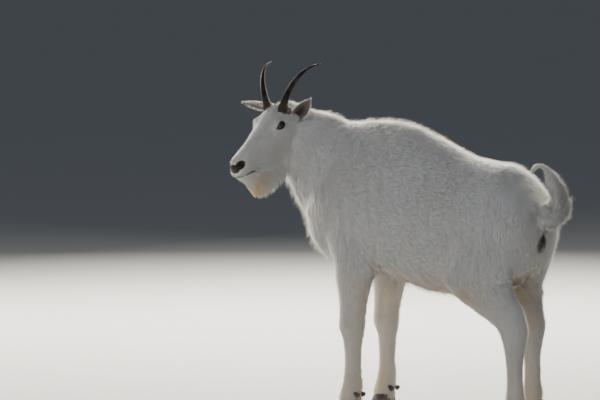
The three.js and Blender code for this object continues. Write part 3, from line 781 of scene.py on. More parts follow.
class Place:
    """Where points lie on every form, the form nearest to each, and each form's share in it."""

    def __init__(self, points):
        self.names = list(forms)
        measured = zip(*(form.measure(points) for form in forms.values()))
        self.along, self.turns, height, self.ahead = (np.stack(values) for values in measured)
        height = np.abs(height)
        self.form = height.argmin(0)
        share = np.exp(-height / BLEND_DEPTH)
        self.share = share / share.sum(0)

    def unwrap(self, vertices, first):
        """Unwrap of vertices on the form of the first one of their face, on one side of its seam."""
        form = self.form[first]
        start = self.turns[form, first]
        turns = start + (self.turns[form, vertices] - start + 0.5) % 1 - 0.5
        left, low, width, height = np.array([ATLAS[name] for name in self.names])[form].T
        return np.stack([left + width * turns, low + height * self.along[form, vertices]], 1)


# Lie of the coat: its flow, and its length, width, lift and spacing
Spots = namedtuple("Spots", "points along turns ahead")
TOP, UNDER = 0.25, 0.75     # turns round a form; the top of a leg faces back


def coat_style(place, points):
    """The styles of the forms, blended at each point."""
    count = len(points)
    flow = np.zeros((count, 3))
    sizes = np.zeros((count, 4))
    for i, name in enumerate(place.names):
        spots = Spots(points, place.along[i], place.turns[i], place.ahead[i])
        flows, columns = STYLES[name.split("_")[0]](spots)
        share = place.share[i][:, None]
        flow += share * unit(flows)
        sizes += share * np.stack(np.broadcast_arrays(*columns, np.zeros(count))[:4], 1)
    return unit(flow), sizes


def trunk_style(at):
    y = at.points[:, 1]
    low = band(at.turns, UNDER, 0.02, 0.16)
    high = band(at.turns, TOP, 0.0, 0.06) * falloff(y, -120, 120)
    chest = falloff(y, -360, -300)
    rump = rise(y, 250, 380)
    groin = low * rise(y, 230, 330)
    near_vent = near(at.points, VENT, (50, 60, 60), 0.6, 1.1)
    down = 0.35 + 0.9 * rump * (1 - 0.7 * low) + 1.0 * chest - 0.25 * low
    flow = Y * (1 - 0.75 * rump - 0.6 * chest)[:, None] - Z * down[:, None]
    length = 25 + 16 * low + 8 * high + 12 * chest + 2 * rump
    length = length * (1 - 0.55 * near_vent) * (1 - 0.4 * groin)
    lift = 0.15 + 0.16 * low + 0.16 * high + 0.1 * chest - 0.05 * near_vent
    return flow, (length, 3.2, lift, 3.7)


def neck_style(at):
    under = band(at.turns, UNDER, 0.05, 0.16)
    crest = band(at.turns, TOP, 0.01, 0.08)
    flow = -at.ahead * (1 - 0.3 * under)[:, None] - Z * (0.35 + 0.7 * under)[:, None]
    return flow, (25 + 22 * under + 6 * crest, 2.9, 0.16 + 0.18 * under + 0.08 * crest, 3.7)


def head_style(at):
    x, y, z = to_head(at.points).T
    cheek = falloff(z, -120, -60) * falloff(x, 60, 190)
    back = falloff(x, 0, 60)
    muzzle = rise(x, 190, 245)
    crown = band(y, 0, 12, 30) * band(x, 20, 30, 70) * (z > -30)
    flow = -face_ahead * np.ones((len(x), 1)) - head_up * (0.2 + 0.7 * cheek)[:, None]
    length = 8.5 + 4 * cheek + 11 * back - 4.2 * muzzle + 9 * crown
    width = 1.6 + 0.8 * back + 0.2 * cheek - 0.5 * muzzle
    lift = 0.15 + 0.05 * cheek + 0.25 * crown
    return flow, (length, width, lift, 2.5 + 0.9 * back - 0.6 * muzzle)


def beard_style(at):
    longest = np.sin(math.pi * np.clip(0.12 + at.along * 0.8, 0, 1))
    return HANG * np.ones((len(longest), 1)), (24 + 30 * longest, 2.4, 0.1, 2.9)


def leg_style(at):
    z = at.points[:, 2]
    rear = band(at.turns, TOP, 0.06, 0.16)
    upper = rise(z, 280, 430)
    fetlock = falloff(z, 70, 120) * rear
    length = 12 + 10 * upper + rear * (7 + 5 * upper) + 16 * fetlock
    return at.ahead + Y * 0.12, (length, 2.0 + 0.9 * upper, 0.13 + 0.1 * rear, 3.0 + 0.6 * upper)


def tail_style(at):
    tip = rise(at.along, 0.36, 0.62)
    root = falloff(at.along, 0.12, 0.3)
    flow = at.ahead - Z * (0.4 * root)[:, None]
    return flow, (36 - 23 * tip, 2.0 - 0.5 * tip, 0.34 - 0.12 * tip, 2.8 - 0.5 * tip)


STYLES = {
    "trunk": trunk_style, "neck": neck_style, "head": head_style, "beard": beard_style,
    "fore": leg_style, "hind": leg_style, "tail": tail_style,
}


# Tufts
CELL_HASH = np.array([73856093, 19349663, 83492791])
CELL_LEVELS = 4         # sizes of cells between a spacing and its double
CELL_WIDTH = 1.16       # in spacings
SWIRL_WAVES = 6


def thin_out(points, spacing):
    """Keeps one point in each cell, whose size follows the spacing."""
    level = np.round(np.log2(np.maximum(spacing, 0.5)) * CELL_LEVELS)
    cell = np.floor(points / (2 ** (level / CELL_LEVELS) * CELL_WIDTH)[:, None]).astype(np.int64)
    key = np.bitwise_xor.reduce(cell * CELL_HASH, 1) * 64 + level.astype(np.int64)
    order = rng.permutation(len(points))
    _, first = np.unique(key[order], return_index=True)
    return np.sort(order[first])


def swirl(points, scale, seed):
    """A smooth number, mostly from -1 to 1, that wanders over space."""
    waves = np.random.default_rng(seed)
    total = np.zeros(len(points))
    for _ in range(SWIRL_WAVES):
        direction = unit(waves.normal(size=3))
        wave_length = scale * waves.uniform(0.7, 1.4)
        total += np.sin(points @ direction * math.tau / wave_length + waves.uniform(0, math.tau))
    return total / (SWIRL_WAVES / 2)


# Place along a tuft and share of its width, for each of its rings
TUFT_RINGS = {1: ((0.0, 1.0),), 2: ((0.0, 0.75), (0.5, 1.0)), 3: ((0.0, 0.7), (0.35, 1.0), (0.7, 0.7))}
TUFT_CORNERS = ((-0.5, 0.0), (0.5, 0.0), (0.0, 0.36))       # across and up, in widths
TUFT_PATCH = 0.003      # of the unwrap, for each tuft
ROOT_DEPTH = 1.2        # by which a root is sunk in the skin
NEAR_NORMAL = 0.72      # how much of the skin's own normal a tuft keeps, for soft shading
LENGTH_SPREAD = (0.78, 1.18)
WIDTH_SPREAD = (0.8, 1.25)
LIFT_SPREAD = (0.7, 1.4)
STEEPEST = 1.3          # radians, of a root over the skin
FARTHEST_LEAN = 0.6     # in lengths of a tuft
SHORT_CLUMPS = {"size": 12, "pull": 0.15}
LONG_CLUMPS = {"size": 17, "pull": 0.38}
AWN_CLUMPS = {"size": 12, "pull": 0.45}


def tuft_shape(rings):
    """Faces of one tuft: rings of three points and a tip, closed at the root."""
    faces = [(2, 1, 0)]
    for r in range(rings - 1):
        for k in range(3):
            a, b = r * 3 + k, r * 3 + (k + 1) % 3
            faces += [(a, b, a + 3), (b, b + 3, a + 3)]
    last = (rings - 1) * 3
    faces += [(last + k, last + (k + 1) % 3, rings * 3) for k in range(3)]
    return np.array(faces)


def lean_to_clumps(roots, tips, length, clumps):
    """From each tip towards the tip of the seed tuft of its clump, but never far for its length."""
    seeds = thin_out(roots, np.full(len(roots), clumps["size"]))
    tree = KDTree(len(seeds))
    for i, place in enumerate(roots[seeds]):
        tree.insert(place, i)
    tree.balance()
    owner = seeds[[tree.find(place)[1] for place in roots]]
    lean = tips[owner] - tips
    size = np.linalg.norm(lean, axis=1)[:, None]
    return lean * np.minimum(1, FARTHEST_LEAN * length / np.maximum(size, 1e-6)) * clumps["pull"]


def build_tufts(roots, normals, table, clumps, rings):
    """Points and normals of thin closed tufts that lie along the flow and lean to their clumps."""
    count = len(roots)
    flow, lift = table[:, FLOW], table[:, LIFT]
    length = (table[:, LENGTH] * rng.uniform(*LENGTH_SPREAD, count))[:, None]
    width = (table[:, WIDTH] * rng.uniform(*WIDTH_SPREAD, count))[:, None]
    climb = (flow * normals).sum(1)
    level = unit(flow - normals * climb[:, None] + rng.normal(0, 0.02, flow.shape))
    sway = 0.2 * swirl(roots, 60, 3) + rng.normal(0, 0.1, count)
    aside = np.cross(normals, level)
    level = unit(level * np.cos(sway)[:, None] + aside * np.sin(sway)[:, None])
    aside = unit(np.cross(normals, level))
    least = lift * rng.uniform(*LIFT_SPREAD, count) + 0.05 * swirl(roots, 35, 5)
    slope = np.maximum(np.arcsin(np.clip(climb, -1, 1)), least)[:, None]
    steep = np.maximum(slope, np.minimum(slope * 1.9, STEEPEST))
    start = level * np.cos(steep) + normals * np.sin(steep)
    reach = level * np.cos(slope) + normals * np.sin(slope)
    up = normals * np.cos(slope) - level * np.sin(slope)
    tips = roots + reach * length
    lean = lean_to_clumps(roots, tips, length, clumps)
    tips = tips + lean
    root = roots - normals * ROOT_DEPTH
    middle = roots + start * length * 0.5 + lean * 0.3
    soft = up * NEAR_NORMAL * np.cos(slope)
    flat = np.cos(slope) ** 2
    blocks, shades = [], []
    for t, wide in TUFT_RINGS[rings]:
        spine = root * (1 - t)**2 + middle * 2 * t * (1 - t) + tips * t**2
        for across, high in TUFT_CORNERS:
            blocks.append(spine + aside * (width * wide * across) + up * (width * wide * high))
            lying = soft + aside * across * 0.6 + up * 0.12
            standing = aside * across * 2 + up * (4 * high - 0.45)
            shades.append(lying * flat + standing * (1 - flat))
    blocks.append(tips)
    shades.append(soft + reach * 0.25 + up * 0.1)
    return np.stack(blocks, 1), unit(np.stack(shades, 1))


def tuft_uv(place_uv, rings):
    """Each tuft fills a small patch of the unwrap at its root's place."""
    corners = [(side, t) for t, _ in TUFT_RINGS[rings] for side in (0.0, 1.0, 0.5)]
    corners.append((0.5, 1.0))
    return place_uv[:, None] + (np.array(corners) - 0.5) * TUFT_PATCH


# Coat: the columns of its table, which holds its style and marks at each point of a piece
FLOW = slice(0, 3)
# The golden mark's column holds staining and painted glow of light shining through the hair
LENGTH, WIDTH, LIFT, SPACING, STAIN_AND_GLOW, DARK = range(3, 9)
LONG_TUFT = 30
COAT_ROOTS = 0.35       # tried on each square millimetre, before they are thinned out
EAR_ROOTS = 0.6
AWN_ROOTS = 0.2
PIECE_TRIANGLES = 190000
AWNS = {"width": 0.42, "spacing": 1.2, "lift": 1.2, "stand": 0.34}      # against the coat round them


class Fur:
    """Tuft roots over a piece, with everything that is known at its points blended to them."""

    def __init__(self, piece, table, per_area, keep):
        points, normals, faces = points_of(piece), normals_of(piece), triangles_of(piece)
        a, b, c = (points[faces[:, i]] for i in range(3))
        area = np.linalg.norm(np.cross(b - a, c - a), axis=1) / 2
        chosen = np.repeat(np.arange(len(faces)), rng.poisson(area * per_area))
        u, v = rng.random((2, len(chosen)))
        over = u + v > 1
        u, v = np.where(over, 1 - u, u), np.where(over, 1 - v, v)
        self.weights = np.stack([1 - u - v, u, v])[..., None]
        self.corners = faces[chosen].T
        self.choose(rng.random(len(chosen)) < self.blend(keep[:, None])[:, 0])
        self.choose(thin_out(self.blend(points), self.blend(table[:, [SPACING]])[:, 0]))
        self.roots = self.blend(points)
        self.normals = unit(self.blend(normals))
        self.table = self.blend(table)

    def choose(self, which):
        self.weights = self.weights[:, which]
        self.corners = self.corners[:, which]

    def blend(self, values):
        return sum(values[corner] * weight for corner, weight in zip(self.corners, self.weights))


def add_coat(name, tufts, shades, uv, table, rings, material):
    """Joined tuft meshes, as many pieces as the limit on triangles asks."""
    shape = tuft_shape(rings)
    parts = math.ceil(len(tufts) / (PIECE_TRIANGLES // len(shape)))
    per = tufts.shape[1]
    for number, part in enumerate(np.array_split(np.arange(len(tufts)), parts)):
        faces = (shape[None] + (np.arange(len(part)) * per)[:, None, None]).reshape(-1, 3)
        piece = mesh_object(f"{name}_{number + 1}", tufts[part].reshape(-1, 3), faces)
        set_uv(piece, uv[part].reshape(-1, 2)[faces.ravel()])
        set_marks(piece, *(np.repeat(table[part, column], per) for column in (STAIN_AND_GLOW, DARK)))
        piece.data.normals_split_custom_set_from_vertices(shades[part].reshape(-1, 3))
        piece.data.materials.append(material)
        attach(piece, "root")


def plant(name, fur, chosen, uv, rings, clumps, material):
    if not chosen.any():
        return
    table = fur.table[chosen]
    tufts, shades = build_tufts(fur.roots[chosen], fur.normals[chosen], table, clumps, rings)
    add_coat(name, tufts, shades, tuft_uv(uv[chosen], rings), table, rings, material)


def grow_coat(name, piece, table, keep, place_uv, material, per_area):
    fur = Fur(piece, table, per_area, keep)
    uv = place_uv(fur)
    long = fur.table[:, LENGTH] > LONG_TUFT
    plant(f"{name}_short", fur, ~long, uv, 2, SHORT_CLUMPS, material)
    plant(f"{name}_long", fur, long, uv, 3, LONG_CLUMPS, material)


def grow_awns(name, piece, table, keep, place_uv, material):
    """Sparse fine hairs that stand out of the coat, thinner than the tufts round them."""
    table = table.copy()
    table[:, WIDTH] *= AWNS["width"]
    table[:, SPACING] *= AWNS["spacing"]
    table[:, LIFT] = table[:, LIFT] * AWNS["lift"] + AWNS["stand"]
    fur = Fur(piece, table, AWN_ROOTS, keep)
    plant(name, fur, np.full(len(fur.roots), True), place_uv(fur), 1, AWN_CLUMPS, material)


# Materials
CREAM = (0.80, 0.78, 0.735)
WARM_CREAM = (0.70, 0.655, 0.58)
# Yellow staining, made brighter and more golden as painted glow of light shining through the hair
GOLD = (0.80, 0.54, 0.25)
# Dark hair, also used as painted shade inside the ear's cup
DARK_HAIR_AND_SHADE = (0.10, 0.085, 0.072)
UNDERCOAT = (0.55, 0.5, 0.43)
BARE_SKIN = (0.018, 0.016, 0.016)
WORN_SKIN = (0.05, 0.042, 0.038)
PUPIL_HALF_WIDTH = 0.42     # these three in radii of the eye
PUPIL_HALF_HEIGHT = 0.19
IRIS_EDGE = (0.66, 0.74)


class Look:
    """A material in the making, with short names for the nodes that it needs."""

    def __init__(self, name, **values):
        self.material = bpy.data.materials.new(name)
        self.material.use_nodes = True
        self.tree = self.material.node_tree
        self.surface = self.tree.nodes["Principled BSDF"]
        for key, value in values.items():
            self.surface.inputs[key.replace("_", " ")].default_value = value

    def node(self, kind, output, sockets, **settings):
        made = self.tree.nodes.new(kind)
        for key, value in settings.items():
            setattr(made, key, value)
        for key, value in sockets.items():
            if isinstance(value, bpy.types.NodeSocket):
                self.tree.links.new(value, made.inputs[key])
            else:
                made.inputs[key].default_value = value
        return made.outputs[output]

    def mark(self, name):
        return self.node("ShaderNodeAttribute", "Fac", {}, attribute_name=name)

    def place(self):
        return self.node("ShaderNodeTexCoord", "Object", {})

    def stretched(self, vector, scale):
        return self.node("ShaderNodeMapping", "Vector", {"Vector": vector, "Scale": scale})

    def split(self, vector, axis):
        return self.node("ShaderNodeSeparateXYZ", axis, {"Vector": vector})

    def noise(self, scale, detail, vector=None):
        vector = self.place() if vector is None else vector
        sockets = {"Scale": scale, "Detail": detail, "Vector": vector}
        return self.node("ShaderNodeTexNoise", "Fac", sockets)

    def mix(self, factor, first, second):
        first, second = ((*c, 1) if isinstance(c, tuple) else c for c in (first, second))
        return self.node("ShaderNodeMix", 2, {0: factor, 6: first, 7: second}, data_type="RGBA")

    def ramp(self, factor, low, high):
        """Stretches a factor so that it runs from 0 at low to 1 at high."""
        sockets = {"Value": factor, "From Min": low, "From Max": high}
        return self.node("ShaderNodeMapRange", "Result", sockets)

    def maths(self, operation, first, second=0.0):
        return self.node("ShaderNodeMath", 0, {0: first, 1: second}, operation=operation)

    def add(self, first, second):
        return self.maths("ADD", first, second)

    def times(self, first, second):
        return self.maths("MULTIPLY", first, second)

    def power(self, base, exponent):
        return self.maths("POWER", base, exponent)

    def colour(self, value):
        self.tree.links.new(value, self.surface.inputs["Base Color"])

    def roughness(self, factor, start, end):
        sockets = {"Value": factor, "To Min": start, "To Max": end}
        rough = self.node("ShaderNodeMapRange", "Result", sockets)
        self.tree.links.new(rough, self.surface.inputs["Roughness"])

    def bump(self, height, distance, strength):
        sockets = {"Height": height, "Distance": distance, "Strength": strength}
        self.tree.links.new(self.node("ShaderNodeBump", "Normal", sockets), self.surface.inputs["Normal"])

    def coat_colour(self):
        patches = self.ramp(self.noise(7, 4), 0.42, 0.68)
        strands = self.ramp(self.noise(120, 3), 0.35, 0.75)
        warmth = self.add(self.times(patches, 0.45), self.times(strands, 0.3))
        # The golden mark: partly staining, partly painted glow of light shining through the hair
        stain_and_glow = self.times(self.mark("stain_and_glow"), self.ramp(self.noise(28, 3), 0.15, 0.6))
        colour = self.mix(stain_and_glow, self.mix(warmth, CREAM, WARM_CREAM), GOLD)
        # Dark hair; on the ears also painted shade inside the cup
        return self.mix(self.mark("dark"), colour, DARK_HAIR_AND_SHADE)


def coat_material():
    look = Look("coat_hair", Roughness=0.85, Specular_IOR_Level=0.2,
                Sheen_Weight=0.25, Sheen_Roughness=0.5,
                Subsurface_Weight=0.5, Subsurface_Scale=0.004, Subsurface_Radius=(1.0, 0.82, 0.58))
    look.colour(look.coat_colour())
    uv = look.node("ShaderNodeUVMap", "UV", {}, uv_map="OFBake")
    look.bump(look.noise(1400, 2, look.stretched(uv, (1.0, 0.12, 1.0))), 0.0004, 0.5)
    return look.material


def skin_material():
    look = Look("skin_and_short_hair", Specular_IOR_Level=0.22, Sheen_Weight=0.05)
    bare = look.mark("bare")
    shades = look.mix(look.ramp(look.noise(90, 4), 0.4, 0.7), BARE_SKIN, WORN_SKIN)
    look.colour(look.mix(bare, look.mix(0.2, look.coat_colour(), UNDERCOAT), shades))
    look.roughness(bare, 0.85, 0.42)
    cells = look.node("ShaderNodeTexVoronoi", "Distance", {"Vector": look.place(), "Scale": 520.0})
    look.bump(look.add(look.times(cells, bare), look.noise(260, 4)), 0.0009, 0.6)
    return look.material


def horn_material():
    look = Look("horn_sheath", Specular_IOR_Level=0.05)
    worn = look.ramp(look.noise(45, 5), 0.45, 0.75)
    base = look.ramp(look.mark("along"), 0.22, 0.0)
    colour = look.mix(worn, (0.017, 0.015, 0.015), (0.06, 0.05, 0.045))
    look.colour(look.mix(look.times(base, 0.5), colour, (0.09, 0.078, 0.07)))
    look.roughness(worn, 0.6, 0.8)
    look.bump(look.noise(420, 3, look.stretched(look.place(), (1.0, 1.0, 0.12))), 0.0005, 0.5)
    return look.material


def hoof_material():
    look = Look("hoof_horn", Specular_IOR_Level=0.4)
    worn = look.ramp(look.noise(60, 5), 0.4, 0.75)
    height = look.split(look.place(), "Z")
    dusty = look.times(look.ramp(height, 0.012, 0.0), 0.55)
    colour = look.mix(worn, (0.028, 0.024, 0.021), (0.13, 0.105, 0.085))
    look.colour(look.mix(dusty, colour, (0.3, 0.26, 0.21)))
    look.roughness(worn, 0.5, 0.75)
    rings = look.times(look.maths("SINE", look.times(height, 1900.0)), 0.25)
    look.bump(look.add(rings, look.noise(180, 4)), 0.0007, 0.6)
    return look.material


def eye_material():
    look = Look("eye_wet", Roughness=0.06, Specular_IOR_Level=0.6, Coat_Weight=0.6, Coat_Roughness=0.02)
    gaze = look.node("ShaderNodeAttribute", "Vector", {}, attribute_name="gaze")
    across, up = look.split(gaze, "X"), look.split(gaze, "Y")
    radius = look.power(look.add(look.power(across, 2.0), look.power(up, 2.0)), 0.5)
    flat = look.power(look.times(across, 1 / PUPIL_HALF_WIDTH), 4.0)
    tall = look.power(look.times(up, 1 / PUPIL_HALF_HEIGHT), 4.0)
    iris = look.mix(look.noise(900, 4), (0.022, 0.011, 0.005), (0.07, 0.035, 0.014))
    pupil = look.ramp(look.add(flat, tall), 1.25, 0.8)
    iris = look.mix(pupil, iris, (0.004, 0.004, 0.005))
    look.colour(look.mix(look.ramp(radius, *IRIS_EDGE), iris, (0.02, 0.014, 0.012)))
    return look.material


def lid_material():
    look = Look("eye_rim", Roughness=0.35, Specular_IOR_Level=0.45)
    look.colour(look.mix(look.noise(300, 4), (0.015, 0.013, 0.013), WORN_SKIN))
    look.bump(look.noise(500, 3), 0.0004, 0.5)
    return look.material


def ear_material():
    look = Look("ear_leaf", Roughness=0.8, Sheen_Weight=0.2, Specular_IOR_Level=0.25)
    lined = look.mix(look.noise(140, 4), (0.08, 0.066, 0.058), (0.20, 0.165, 0.145))
    # Painted shade of the cup's hollow: the lining turns near black in its middle, towards the base
    lined = look.mix(look.mark("deep"), lined, (0.012, 0.010, 0.010))
    look.colour(look.mix(look.mark("inner"), look.coat_colour(), lined))
    look.bump(look.noise(330, 4), 0.0008, 0.6)
    return look.material


def floor_material():
    look = Look("pale_floor", Roughness=0.8)
    look.colour(look.mix(look.noise(3, 4), (0.33, 0.33, 0.325), (0.36, 0.36, 0.35)))
    return look.material


# Skin with its coat
COAT_END = 4        # over the hooves
BARE_EDGE = 2.5     # the coat has ended where the bare mask reaches 1 over this


def dress_body(skin_look, hair_look):
    skin = skin_piece()
    points = points_of(skin)
    place = Place(points)
    flow, sizes = coat_style(place, points)
    stain_and_glow, dark, bare = stain_and_glow_mask(points), dark_mask(points, place), bare_mask(points)
    loops, polygons = skin.data.loops, skin.data.polygons
    vertices = read(loops, "vertex_index", 1, np.int32)[:, 0]
    starts, sides = (read(polygons, field, 1, np.int32)[:, 0] for field in ("loop_start", "loop_total"))
    set_uv(skin, place.unwrap(vertices, np.repeat(vertices[starts], sides)))
    set_marks(skin, stain_and_glow, dark)
    point_value(skin, "bare", bare)
    finish_piece(skin, skin_look, "coat", "torso", "neck", "head", "tail", "leg_front_left",
                 "leg_front_right", "leg_hind_left", "leg_hind_right")
    table = np.column_stack([flow, sizes, stain_and_glow, dark])

    def tuft_places(fur):
        return sum(place.unwrap(corner, fur.corners[0]) * weight
                   for corner, weight in zip(fur.corners, fur.weights))

    hidden = points[:, 2] < HOOF_HEIGHT + COAT_END
    keep = np.where(hidden, 0, 1 - np.clip(bare * BARE_EDGE, 0, 1))
    grow_coat("coat_body", skin, table, keep, tuft_places, hair_look, COAT_ROOTS)
    grow_awns("coat_awns", skin, table, keep, tuft_places, hair_look)


# Ears
EAR_PLANS = {
    "left": {"foot": (24, 55, -40), "towards": (-10, 80, 63), "opening": (0.95, 0.1, -0.1)},
    "right": {"foot": (8, -54, -26), "towards": (11, -95, 23), "opening": (0.9, 0, -0.4)},
}
EAR_WALL = 3.6
EAR_DEPTH = 17
EAR_ROOT = 8        # sunk in the head
EAR_BEND = 6        # of the tip, away from the opening
EAR_DARK = 0.22     # of the hair on its back
# Painted shade inside the ear's cup, added to the darkness of the hair that lines it
CUP_SHADE = 0.6      # added in the cup
EAR_STEPS = 26
EAR_ARC = 17        # points over the back of a ring; those after them line the cup


def ear_rings(foot, towards, opening):
    ahead = head_direction(*towards)
    open_to = head_direction(*opening)
    open_to = unit(open_to - ahead * (open_to @ ahead))
    side = np.cross(open_to, ahead)
    outer = math.pi * (np.arange(EAR_ARC) / (EAR_ARC - 1) - 0.5)
    rings = []
    for i in range(EAR_STEPS + 1):
        along = i / EAR_STEPS
        leaf = math.sin(math.pi * min(0.18 + 0.86 * along, 1)) ** 0.75
        half = max(EAR_WIDTH / 2 * leaf, 1.5)
        deep = max(EAR_DEPTH * (1 - along) ** 0.6, 2.5)
        wall = EAR_WALL * (1 - 0.45 * along) + 6 * max(0, 0.25 - along)
        centre = in_head(foot) + ahead * (EAR_LENGTH * along - EAR_ROOT) - open_to * EAR_BEND * along**2
        hollow = max(deep - wall, deep * 0.12)
        arcs = ((half, deep, outer), (half - wall * 0.4, hollow, outer[-2:0:-1]))
        rings.append([centre + side * wide * math.sin(a) - open_to * low * math.cos(a)
                      for wide, low, arc in arcs for a in arc])
    return np.array(rings), ahead, open_to


def dress_ear(side_name, ear_look, hair_look):
    rings, ahead, open_to = ear_rings(**EAR_PLANS[side_name])
    vertices, faces = loft(rings)
    piece = mesh_object(f"ear_leaf_{side_name}", vertices, faces)
    rows, count = rings.shape[:2]
    column = np.tile(np.arange(count), rows)
    inner = np.append(column >= EAR_ARC, [0, 0]).astype(float)
    rim = np.append((column <= 1) | (np.abs(column - EAR_ARC + 1) <= 1), [0, 1]).astype(float)
    along = np.append(np.repeat(np.arange(rows) / EAR_STEPS, count), [0, 1])
    column = np.append(column, [0, 0])
    from_middle = np.abs(column - (EAR_ARC + count - 1) / 2) / ((count - EAR_ARC) / 2)
    # Dark hair on the back of the ear, with painted shade added to the hair inside its cup
    dark = EAR_DARK + CUP_SHADE * inner
    point_value(piece, "inner", inner * np.clip(1.15 - along * 0.4, 0, 1))
    # Painted shade: darkest in the middle of the cup, towards its base
    point_value(piece, "deep", inner * falloff(from_middle, 0.1, 0.6) * falloff(along, 0.35, 0.9))
    set_marks(piece, 0 * dark, dark)
    corner_uv = np.stack([0.06 + 0.9 * column / count, 0.03 + 0.94 * along], 1)
    set_uv(piece, corner_uv[faces.ravel()])
    finish_piece(piece, ear_look, "ear", f"ear_{side_name}")
    flow = unit(ahead + open_to * 0.4 * rim[:, None])
    ones = np.ones(len(flow))
    sizes = (8 + 5 * rim - 2 * inner, 1.3 * ones, 0.22 + 0.2 * rim, 2.1 * ones)
    table = np.column_stack([flow, *sizes, 0 * ones, dark * (1 - rim * 0.8)])

    def places(fur):
        return corner_uv[fur.corners[0]]

    grow_coat(f"coat_ear_{side_name}", piece, table, 1 - inner * (1 - rim), places, hair_look, EAR_ROOTS)


# Horns
HORN_LEAN_BACK = math.radians(24)
HORN_LEAN_OUT = math.radians(19.5)
HORN_BEND_OUT = math.radians(20)
HORN_CURL_START = 0.0056    # radians per millimetre at the foot
HORN_CURL_GAIN = 0.0047     # added by the tip
HORN_ROOT = 24
HORN_STEPS = 66
HORN_POINTS = 30
HORN_RIDGES = 13
RIDGE_HEIGHT = 0.55
HORN_TIP_RADIUS = 0.8
HORN_HALVES = (0.92, 1.08)      # across and along the head, in radii
FLUTES = 5
FLUTE_DEPTH = 0.02


def horn_spine(flip):
    lean = np.array([-math.sin(HORN_LEAN_BACK), flip * math.sin(HORN_LEAN_OUT), 0])
    start = lean + Z * math.sqrt(1 - lean @ lean)
    bend = np.array([-math.cos(HORN_BEND_OUT), flip * math.sin(HORN_BEND_OUT), 0])
    bend = unit(bend - start * (bend @ start))
    step = HORN_LENGTH / HORN_STEPS
    place, angle = HORN_FOOT * (1, flip, 1), 0.0
    spine = [(place - start * HORN_ROOT, start), (place, start)]
    for i in range(HORN_STEPS):
        angle += (HORN_CURL_START + HORN_CURL_GAIN * (i + 0.5) / HORN_STEPS) * step
        ahead = start * math.cos(angle) + bend * math.sin(angle)
        place = place + ahead * step
        spine.append((place, ahead))
    return spine


def make_horn(side_name, flip, look):
    rings, shares = [], []
    around = np.arange(HORN_POINTS) / HORN_POINTS * math.tau
    for i, (place, ahead) in enumerate(horn_spine(flip)):
        along = max(i - 1, 0) / HORN_STEPS
        ridges = RIDGE_HEIGHT * math.sin(along * math.tau * HORN_RIDGES) * max(0, 1 - along / 0.6)
        cone = HORN_BASE_RADIUS * (1 - along) ** 0.95 + HORN_COLLAR * (1 - along) ** 24
        radius = cone + HORN_TIP_RADIUS + ridges
        forward = head_direction(*ahead)
        fore = unit(np.cross(head_left, forward))
        side = unit(np.cross(forward, fore))
        flute = 1 + FLUTE_DEPTH * np.sin(around * FLUTES + along * 3)
        across, deep = HORN_HALVES
        rings.append(in_head(place) + radius * (across * np.cos(around) * flute)[:, None] * side
                     + radius * (deep * np.sin(around) * flute)[:, None] * fore)
        shares.append(np.full(HORN_POINTS, along))
    piece = mesh_object(f"horn_sheath_{side_name}", *loft(np.array(rings)))
    point_value(piece, "along", np.concatenate([*shares, [0, 1]]))
    finish_piece(piece, look, "horn", f"horn_{side_name}")


# Eyes
CORNEA_BULGE = 1.1
EYE_SHRINK = 0.03       # keeps the ball inside the lids
RIM_STEPS = 32
RIM_POINTS = 10
RIM_HALF_HEIGHT = 1.5
RIM_HALF_WIDTH = 1.7
UPPER_RIM = 0.5         # added to the upper lid


def make_eye(side_name, flip, look):
    centre, axes = eye_frame(flip)
    vertices, faces = ball(centre, (EYE_RADIUS,) * 3, axes, 48, 32)
    local = (vertices - centre) @ axes.T
    bulge = CORNEA_BULGE * np.exp(-((local[:, 0]**2 + local[:, 1]**2) / 70)) * (local[:, 2] > 0)
    vertices = centre + (local * (1 - EYE_SHRINK + bulge / EYE_RADIUS)[:, None]) @ axes
    piece = mesh_object(f"eye_ball_{side_name}", vertices, faces)
    point_value(piece, "gaze", local / EYE_RADIUS, "FLOAT_VECTOR")
    finish_piece(piece, look, "eye", f"eye_{side_name}")


def make_eye_rim(side_name, flip, look):
    """The dark edge of the lids, a closed tube round the opening that is thicker above."""
    centre, axes = eye_frame(flip)
    outline = almond(RIM_STEPS)
    lift = np.sqrt(np.maximum(LID_RADIUS**2 - (outline**2).sum(1), 30.0))
    path = np.column_stack([outline, lift])
    outward = unit(path)
    aside = unit(np.cross(unit(np.roll(path, -1, 0) - np.roll(path, 1, 0)), outward))
    around = np.arange(RIM_POINTS) / RIM_POINTS * math.tau
    thick = RIM_HALF_WIDTH + UPPER_RIM * (np.arange(len(path)) < RIM_STEPS)
    rings = (path[:, None] + np.cos(around)[None, :, None] * aside[:, None] * thick[:, None, None]
             + np.sin(around)[None, :, None] * outward[:, None] * RIM_HALF_HEIGHT)
    i, k = np.meshgrid(np.arange(len(path)), np.arange(RIM_POINTS), indexing="ij")
    n, m = (i + 1) % len(path), (k + 1) % RIM_POINTS
    quads = np.stack([row * RIM_POINTS + point for row, point in ((i, k), (i, m), (n, m), (n, k))], -1)
    rim = mesh_object(f"eye_rim_{side_name}", centre + rings.reshape(-1, 3) @ axes, quads.reshape(-1, 4))
    finish_piece(rim, look, "coat")


# Hooves
TOE_POINTS = 36
TOE_SPREAD = HOOF_WIDTH / 2 + 2
TOE_AHEAD = 0.56        # share of a hoof's length before the middle of its leg
HEEL_BEHIND = 0.44
CLAW_POINTS = 20
CLAW_TILT = math.pi * 0.83
CLAW_PLACE = {"aside": 15, "behind": 38, "height": 66}


